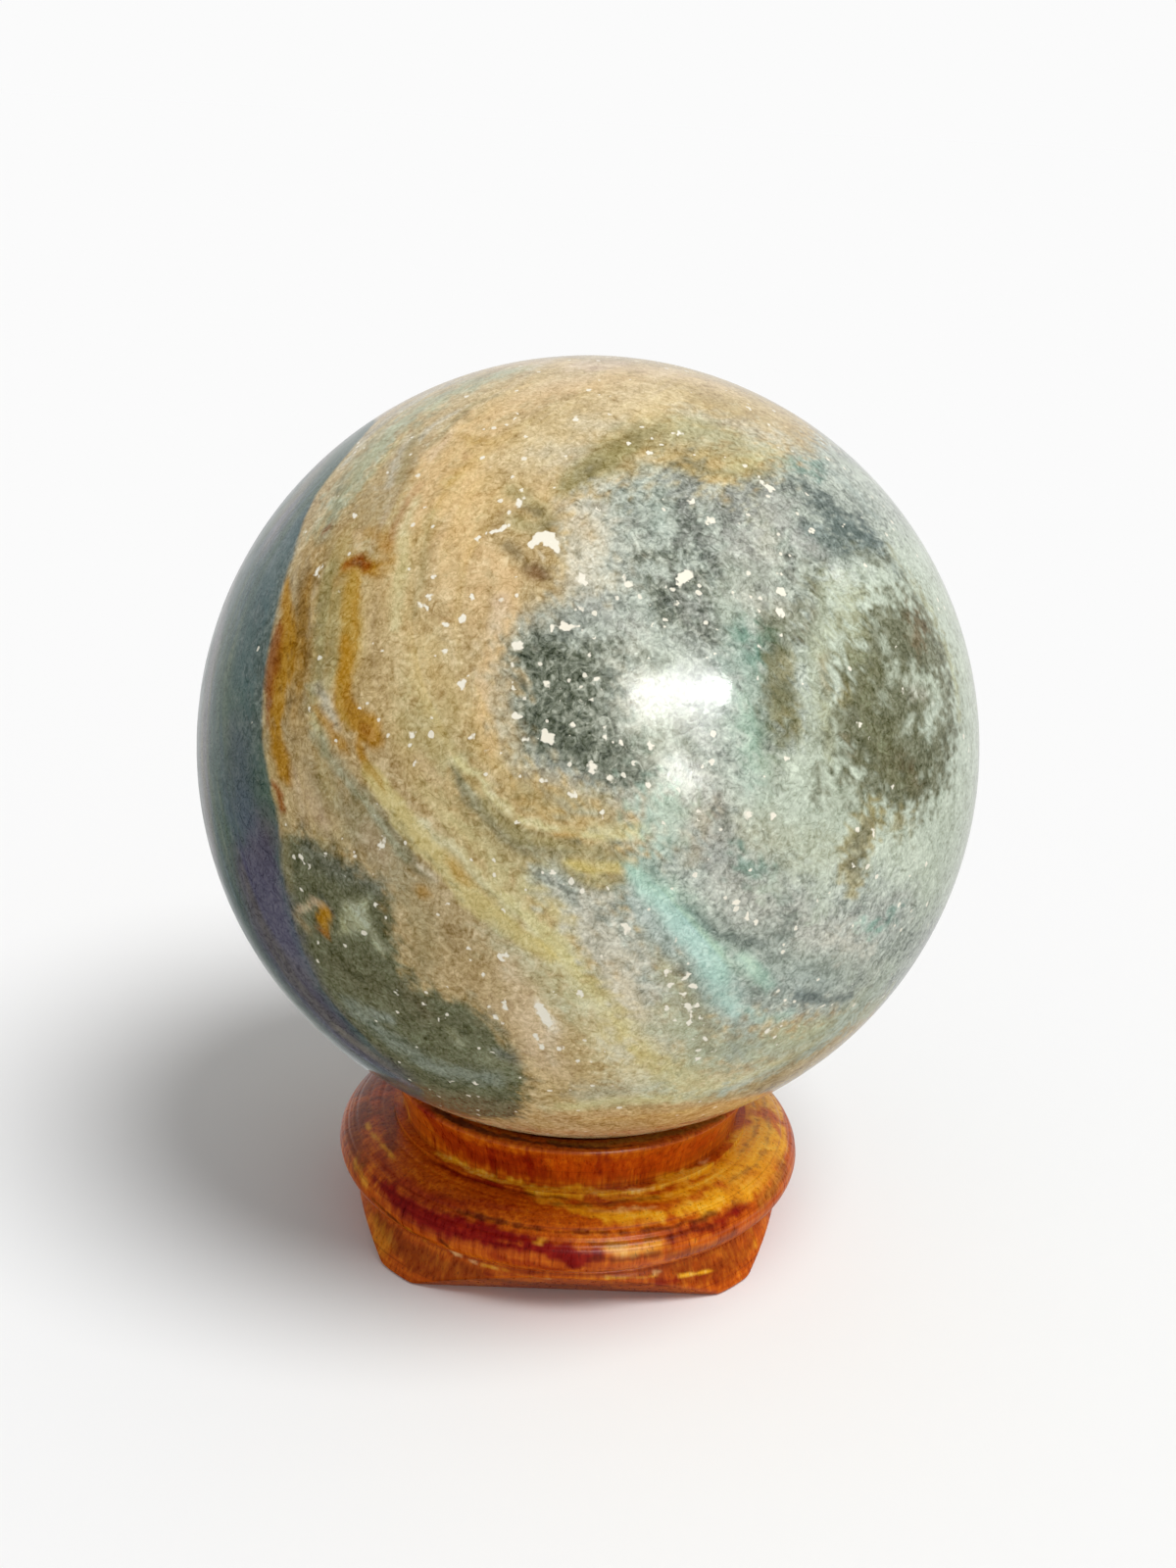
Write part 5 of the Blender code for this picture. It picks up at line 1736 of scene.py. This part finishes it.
# %% Bead
paint_stand("bead", [
    ("neck_red", 16, 0.9, [(410, 1210, 9), (440, 1222, 10), (480, 1228, 8), (520, 1234, 7)]),
    ("orange_stain", 8, 0.9, [(440, 1210, 4), (460, 1216, 5), (486, 1220, 4)]),
    ("orange_stain", 6, 0.8, [(480, 1233, 2), (520, 1240, 3), (560, 1246, 3), (596, 1248, 2)]),
    ("deep_red", 9, 1.0, [(384, 1204, 5), (404, 1222, 8), (424, 1236, 10), (450, 1247, 12),
        (480, 1256, 13), (510, 1264, 11), (540, 1270, 10), (560, 1276, 9), (590, 1284, 12),
        (606, 1284, 9)]),
    ("deep_red", 14, 0.6, [(395, 1226, 6), (420, 1246, 8), (450, 1262, 6)]),
    ("neck_red", 8, 0.8, [(500, 1280, 4), (540, 1290, 4), (575, 1296, 3)]),
    ("orange_stain", 5, 0.6, [(512, 1268, 1), (530, 1270, 1)]),
    ("orange_stain", 5, 0.6, [(600, 1290, 2), (620, 1294, 2)]),
    ("deep_red", 12, 0.8, [(684, 1262, 5), (712, 1254, 6), (736, 1244, 6), (756, 1232, 5)]),
    ("deep_red", 6, 0.9, [(728, 1246, 3), (736, 1243, 2)]),
    ("deep_red", 6, 0.9, [(750, 1238, 3), (760, 1232, 3)]),
    # painted highlights: gold streaks where the light catches the bead's crests
    ("gold", 12, 0.75, [(550, 1222, 4), (604, 1236, 6), (640, 1242, 8), (670, 1238, 7)]),
    ("gold", 10, 0.6, [(620, 1272, 4), (650, 1274, 6), (674, 1270, 4)]),
    ("brown", 8, 0.7, [(684, 1282, 5), (706, 1278, 6), (730, 1270, 5), (750, 1256, 4)]),
    ("dark_line", 5, 0.75, [(468, 1236, 2), (500, 1245, 2), (535, 1251, 2), (575, 1257, 2),
        (620, 1258, 2), (660, 1255, 2), (700, 1247, 2), (728, 1238, 2)]),
    ("dark_line", 5, 0.65, [(596, 1268, 2), (620, 1270, 2), (660, 1265, 2), (700, 1257, 2),
        (730, 1247, 2)]),
    ("dark_line", 5, 0.6, [(560, 1229, 2), (600, 1229, 2), (640, 1226, 2), (672, 1221, 2)]),
    ("dark_line", 6, 0.6, [(600, 1284, 2), (640, 1284, 2), (676, 1279, 2)]),
    ("dark_line", 5, 0.8, [(380, 1224, 1), (400, 1242, 2), (418, 1256, 2), (440, 1267, 1)]),
    ("dark_line", 4, 0.9, [(450, 1267, 2), (455, 1271, 2)]),
    # painted highlights and glints on the crests, in gold and in pale wood
    ("gold", 5, 0.6, [(549, 1269, 1), (557, 1263, 1)]),
    ("gold", 8, 0.8, [(590, 1238, 2), (640, 1241, 4), (674, 1236, 3)]),
    ("bare_wood_and_glint", 5, 0.45, [(600, 1236, 1), (640, 1234, 2), (670, 1231, 1)]),
    ("bare_wood_and_glint", 9, 0.2, [(622, 1277, 3), (650, 1277, 3), (664, 1274, 2)]),
    ("gold", 6, 0.6, [(416, 1254, 2), (434, 1266, 2)]),
])

# %% [markdown]
# The foot is an even brown, with chips of bare wood along its upper edge.

# %% Foot
paint_stand("foot", [
    ("foot_brown", 8, 1.0, [(384, 1240, 6), (400, 1262, 10), (424, 1284, 14), (450, 1294, 14),
        (480, 1302, 10), (520, 1308, 8), (560, 1311, 6), (610, 1313, 6)]),
    ("gold", 16, 0.35, [(378, 1236, 5), (386, 1256, 8), (396, 1274, 7)]),
    ("deep_red", 6, 0.5, [(431, 1292, 1), (431, 1309, 1)]),
    ("deep_red", 5, 0.7, [(497, 1300, 2), (501, 1302, 2)]),
    ("deep_red", 5, 0.7, [(530, 1297, 3), (538, 1297, 2)]),
    ("foot_brown", 12, 0.9, [(620, 1312, 6), (660, 1310, 6), (700, 1306, 8), (740, 1296, 14),
        (764, 1272, 8)]),
    ("brown", 14, 0.5, [(690, 1300, 6), (720, 1296, 8), (748, 1276, 8)]),
    ("deep_red", 6, 0.7, [(672, 1308, 4), (690, 1306, 3)]),
    ("deep_red", 5, 0.7, [(709, 1302, 1), (710, 1316, 1)]),
    ("deep_red", 5, 0.7, [(718, 1300, 1), (719, 1318, 1)]),
    ("deep_red", 5, 0.7, [(729, 1298, 1), (730, 1318, 1)]),
    ("gold", 6, 0.6, [(766, 1256, 2), (770, 1272, 2)]),
    ("bare_wood_and_glint", 3, 1.0, [(457, 1276, 1), (462, 1280, 2), (467, 1282, 1)]),
    ("bare_wood_and_glint", 3, 0.8, [(480, 1286, 1), (486, 1288, 1)]),
    ("bright_gold", 3, 0.7, [(496, 1290, 1), (508, 1294, 1)]),
    ("bright_gold", 3, 0.7, [(516, 1296, 1), (540, 1302, 1)]),
    ("bare_wood_and_glint", 3, 0.7, [(546, 1303, 1), (560, 1305, 1)]),
    ("bare_wood_and_glint", 3, 0.9, [(669, 1300, 2), (674, 1298, 2)]),
    ("bright_gold", 4, 0.8, [(620, 1305, 1), (650, 1303, 1), (668, 1302, 1)]),
    ("bright_gold", 4, 0.8, [(694, 1303, 1), (712, 1299, 1), (728, 1294, 1)]),
])

# %% [markdown]
# The stain, with the painted light, is kept on the stand's mesh like the painting on the ball. The
# last row holds the run, how much the lathe's rings show, and how bare the wood is, painted glints
# included.

# %% Store the stain and painted light on the stand
store_grains(stand.data, wood)
store(stand.data, "turning", np.stack([stand_runs, wood[:, STREAKINESS], wood[:, SPECKS]], 1))
print("bare wood on", round(100 * float((wood[:, SPECKS] > 0.5).mean()), 2), "% of the points")

# %% [markdown]
# ## The varnished wood
# The block's fibres run up and down, so the neck and the foot show upright streaks, and the slopes
# of the bead show their cut ends as short flecks. Rings left by the turning tool run round it. All
# of it lies under a glossy varnish, which the coat layer of the shader stands for.

# %% Wood finish
FIBRE_SIZE = (1 / 0.00042, 1 / 0.00042, 1 / 0.0060)
PORE_SIZE = (1 / 0.0002, 1 / 0.0002, 1 / 0.0022)
FIBRES = (1.0, 3.0, 0.6, 0.0)
PORES = (1.0, 1.0, 0.5, 0.0)
CLOUDS = (1 / 0.0024, 3.0, 0.6, 0.0)
RINGS = (1.0, 3.0, 0.7, 0.0)
RING_SCALE = 2.4
CLOUD_SHARE = 0.4
RING_SHARE = 0.45
WOOD_CONTRAST = 3.2
PORE_COLOUR = tuple(linear((52, 12, 0)))
PORE_RANGE = (0.36, 0.26)
PORE_STRENGTH = 0.45
SCORE_RANGE = (0.42, 0.32)
SCORE_DEPTH = 0.9
WOOD_ROUGHNESS = 0.20
FIBRE_ROUGHER = 0.20
BARE_AND_GLINT_ROUGHER = 0.2
FIBRE_HEIGHT = 0.5
RING_HEIGHT = 0.5
CLOUD_HEIGHT = 0.8
WOOD_BUMP = (0.00010, 0.5)  # depth and strength, on the wood and on the varnish over it
VARNISH_BUMP = (0.00005, 0.4)
VARNISH_WEIGHT = 0.1
VARNISH_ROUGHNESS = 0.2
WOOD_IOR = 1.3


def wood_noises(tree, place, run):
    """Fibres, pores and clouds from the place on the piece, and rings from the run."""
    fibres = noise_of(tree, scaled(tree, place, *FIBRE_SIZE), *FIBRES)
    pores = noise_of(tree, scaled(tree, place, *PORE_SIZE), *PORES)
    cloud = noise_of(tree, place, *CLOUDS)
    ring_place = tree.nodes.new("ShaderNodeCombineXYZ")
    tree.links.new(maths(tree, "MULTIPLY", run, RING_SCALE), ring_place.inputs["X"])
    return fibres, pores, cloud, noise_of(tree, ring_place.outputs[0], *RINGS)


def wood_colour(tree, noises, ringed):
    """The stained grain, with dark pores and dark lines scored round it."""
    fibres, pores, cloud, rings = noises
    even = between(tree, fibres, cloud, CLOUD_SHARE)
    turned = between(tree, even, rings, RING_SHARE)
    colour = grain_colour(tree, even, turned, ringed, WOOD_CONTRAST)
    dark_pores = maths(tree, "MULTIPLY", spread(tree, pores, *PORE_RANGE), PORE_STRENGTH)
    score_depth = maths(tree, "MULTIPLY", ringed, SCORE_DEPTH)
    scored = maths(tree, "MULTIPLY", spread(tree, rings, *SCORE_RANGE), score_depth)
    return blend_of(tree, maths(tree, "MAXIMUM", dark_pores, scored), colour, PORE_COLOUR)


def wood_height(tree, noises):
    fibres, _, cloud, rings = noises
    height = maths(tree, "MULTIPLY", fibres, FIBRE_HEIGHT)
    height = maths(tree, "MULTIPLY_ADD", rings, RING_HEIGHT, height)
    return maths(tree, "MULTIPLY_ADD", cloud, CLOUD_HEIGHT, height)


def wood_finish():
    material, tree, shader, place = new_finish("red_varnished_wood")
    run, ringed, bare_and_glints = split(tree, stored(tree, "turning"))
    noises = wood_noises(tree, place, run)
    tree.links.new(wood_colour(tree, noises, ringed), shader.inputs["Base Color"])
    rough = maths(tree, "MULTIPLY_ADD", noises[0], FIBRE_ROUGHER, WOOD_ROUGHNESS)
    rough = maths(tree, "MULTIPLY_ADD", bare_and_glints, BARE_AND_GLINT_ROUGHER, rough)
    tree.links.new(rough, shader.inputs["Roughness"])
    height = wood_height(tree, noises)
    tree.links.new(bump_of(tree, height, *WOOD_BUMP), shader.inputs["Normal"])
    tree.links.new(bump_of(tree, height, *VARNISH_BUMP), shader.inputs["Coat Normal"])
    shader.inputs["Coat Weight"].default_value = VARNISH_WEIGHT
    shader.inputs["Coat Roughness"].default_value = VARNISH_ROUGHNESS
    shader.inputs["IOR"].default_value = WOOD_IOR
    return material


stand.data.materials.append(wood_finish())
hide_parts("wooden_stand")
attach(stand, "root")
print("wood finish", len(stand.data.materials[0].node_tree.nodes), "nodes")

# %% [markdown]
# ## Floor
# The object stands on a plain pale floor. It is matt, and the polished ball doesn't mirror it: what
# the ball mirrors is set further down.

# %% Floor
FLOOR_WHITE = 0.86
FLOOR_HALF_SIZE = 6.0


def floor_finish():
    material, _, shader, _ = new_finish("pale_floor")
    shader.inputs["Base Color"].default_value = (FLOOR_WHITE, FLOOR_WHITE, FLOOR_WHITE, 1.0)
    shader.inputs["Roughness"].default_value = 1.0
    shader.inputs["Specular IOR Level"].default_value = 0.0
    return material


def floor_mesh():
    bm = bmesh.new()
    bmesh.ops.create_grid(bm, x_segments=1, y_segments=1, size=FLOOR_HALF_SIZE)
    mesh = bpy.data.meshes.new("floor")
    bm.to_mesh(mesh)
    bm.free()
    return mesh


floor = new_piece("floor", floor_mesh())
floor.data.materials.append(floor_finish())
floor.visible_glossy = False
print("floor", 2 * FLOOR_HALF_SIZE, "m wide")

# %% [markdown]
# ## Light
# One large soft light from the upper right front throws the broad soft shadow to the left. Its
# strength is what the floor still needs, after the even surround, to come out at its brightness.

# %% Soft sun
FLOOR_BRIGHTNESS = 0.965
SURROUND = 0.45
SUN_HEIGHT = radians(63)
SUN_SIDE = radians(50)
SUN_WIDTH = radians(30)
SUN_STRENGTH = (FLOOR_BRIGHTNESS / FLOOR_WHITE - SURROUND) * pi / sin(SUN_HEIGHT)


def new_lamp(name, kind):
    lamp = bpy.data.objects.new(name, bpy.data.lights.new(name, kind))
    bpy.context.scene.collection.objects.link(lamp)
    return lamp


sun_level = cos(SUN_HEIGHT)
sun_from = Vector((sin(SUN_SIDE) * sun_level, -cos(SUN_SIDE) * sun_level, sin(SUN_HEIGHT)))
sun = new_lamp("soft_sun", "SUN")
sun.data.energy = SUN_STRENGTH
sun.data.angle = SUN_WIDTH
sun.location = BALL_CENTRE + sun_from
sun.rotation_mode = "QUATERNION"
sun.rotation_quaternion = sun_from.to_track_quat("Z", "Y")
sun.visible_glossy = False
print("sun strength", round(SUN_STRENGTH, 2))

# %% [markdown]
# The ball's bright marks are narrow strips of light, one above the other. Each strip is a small
# panel, placed where the ball mirrors it at the right pixels: the line of sight is thrown back from
# the ball, and the panel stands across it. The last one is a broad faint glow round the others.
# All of them show only in what is glossy.

# %% Light strips
PANEL_DISTANCE = 0.9
STRIPS = [  # left, right, middle height and thickness in pixels, then brightness
    (672, 730, 686, 5, 10), (652, 740, 694, 5, 17), (642, 744, 702, 6, 22), (638, 745, 711, 6, 22),
    (640, 743, 720, 5, 20), (646, 734, 729, 5, 17), (656, 722, 738, 4, 14), (674, 736, 747, 3, 7),
    (668, 708, 664, 4, 4), (716, 742, 698, 8, 14), (714, 742, 712, 8, 14), (680, 698, 772, 5, 15),
    (676, 704, 780, 6, 20), (675, 710, 789, 6, 20), (675, 718, 798, 5, 17), (680, 730, 806, 3, 9),
    (847, 856, 587, 8, 12), (612, 764, 744, 190, 0.5),
]


def mirror_direction(x, y):
    """The direction that the ball mirrors at a pixel."""
    ray, ahead, miss = past_ball(x, y)
    normal = met_on_ball(ray, ahead, miss)
    return ray - 2 * ray.dot(normal) * normal


def add_strip(name, left, right, middle_y, height, brightness):
    """One bright panel, seen in the ball between two pixels of the photograph."""
    middle_x = (left + right) / 2
    start = mirror_direction(left, middle_y)
    end = mirror_direction(right, middle_y)
    low = mirror_direction(middle_x, middle_y + height / 2)
    high = mirror_direction(middle_x, middle_y - height / 2)
    lamp = new_lamp(name, "AREA")
    lamp.data.shape = "RECTANGLE"
    lamp.data.size = PANEL_DISTANCE * (end - start).length
    lamp.data.size_y = PANEL_DISTANCE * (high - low).length
    lamp.data.energy = brightness * pi * lamp.data.size * lamp.data.size_y
    out = ((start + end) / 2).normalized()
    side = (end - start - out * out.dot(end - start)).normalized()
    turned = Matrix((side, out.cross(side), out)).transposed().to_4x4()
    lamp.matrix_world = Matrix.Translation(BALL_CENTRE + out * PANEL_DISTANCE) @ turned
    lamp.visible_diffuse = False


for number, strip in enumerate(STRIPS, 1):
    add_strip(f"light_strip_{number}", *strip)
print(len(STRIPS), "light strips")

# %% [markdown]
# The surround is even and white for all that it lights. The polished pieces mirror something else:
# a soft sheen that grows behind them, a paler patch for the lit floor on the right, and a dark one
# for the shadow on the left. A direction's x, y and z say how far it points across, behind and up.

# %% Surround
SHEEN_FRONT = 0.03
SHEEN_BACK = 0.75
SHEEN_BEHIND = (0.25, 1.0)
SHEEN_UP = (-0.85, -0.60, 0.1, 1.0)
FLOOR_SHEEN = 0.6
FLOOR_UP = (-0.10, -0.40)
FLOOR_BEHIND = (0.5, 0.25)
FLOOR_ACROSS = (0.05, 0.40)
SHADOW_DEPTH = 0.8
SHADOW_UP = (-0.50, -0.25)
SHADOW_ACROSS = (-0.45, -0.10, 1.0, 0.0)
SHADOW_BEHIND = (0.70, 0.90, 1.0, 0.3)


def product(tree, first, *others):
    for other in others:
        first = maths(tree, "MULTIPLY", first, other)
    return first


def mirrored_surround(tree):
    """What the polish mirrors in each direction."""
    across, behind, up = split(tree, tree.nodes.new("ShaderNodeTexCoord").outputs["Object"])
    sheen = product(tree, spread(tree, behind, *SHEEN_BEHIND, SHEEN_FRONT, SHEEN_BACK, smooth=True),
                    spread(tree, up, *SHEEN_UP))
    lit_floor = product(tree, spread(tree, up, *FLOOR_UP, 0.0, FLOOR_SHEEN),
                        spread(tree, behind, *FLOOR_BEHIND), spread(tree, across, *FLOOR_ACROSS))
    shadow = product(tree, spread(tree, up, *SHADOW_UP, SHADOW_DEPTH, 0.0),
                     spread(tree, across, *SHADOW_ACROSS), spread(tree, behind, *SHADOW_BEHIND))
    return product(tree, maths(tree, "MAXIMUM", sheen, lit_floor),
                   maths(tree, "SUBTRACT", 1.0, shadow))


def light_world():
    """White all round: as bright as the floor to the eye, softer as a light, mirrored with care."""
    world = bpy.data.worlds.new("surround")
    bpy.context.scene.world = world
    world.use_nodes = True
    world.cycles.sampling_method = "NONE"
    tree = world.node_tree
    path = tree.nodes.new("ShaderNodeLightPath")
    strength = maths(tree, "MULTIPLY_ADD", path.outputs["Is Diffuse Ray"],
                     SURROUND - FLOOR_BRIGHTNESS, FLOOR_BRIGHTNESS)
    strength = between(tree, strength, mirrored_surround(tree), path.outputs["Is Glossy Ray"])
    background = tree.nodes["Background"]
    background.inputs["Color"].default_value = (1.0, 1.0, 1.0, 1.0)
    tree.links.new(strength, background.inputs["Strength"])


light_world()
bpy.context.scene.view_settings.view_transform = "Standard"
print("surround", SURROUND, "floor brightness", FLOOR_BRIGHTNESS)
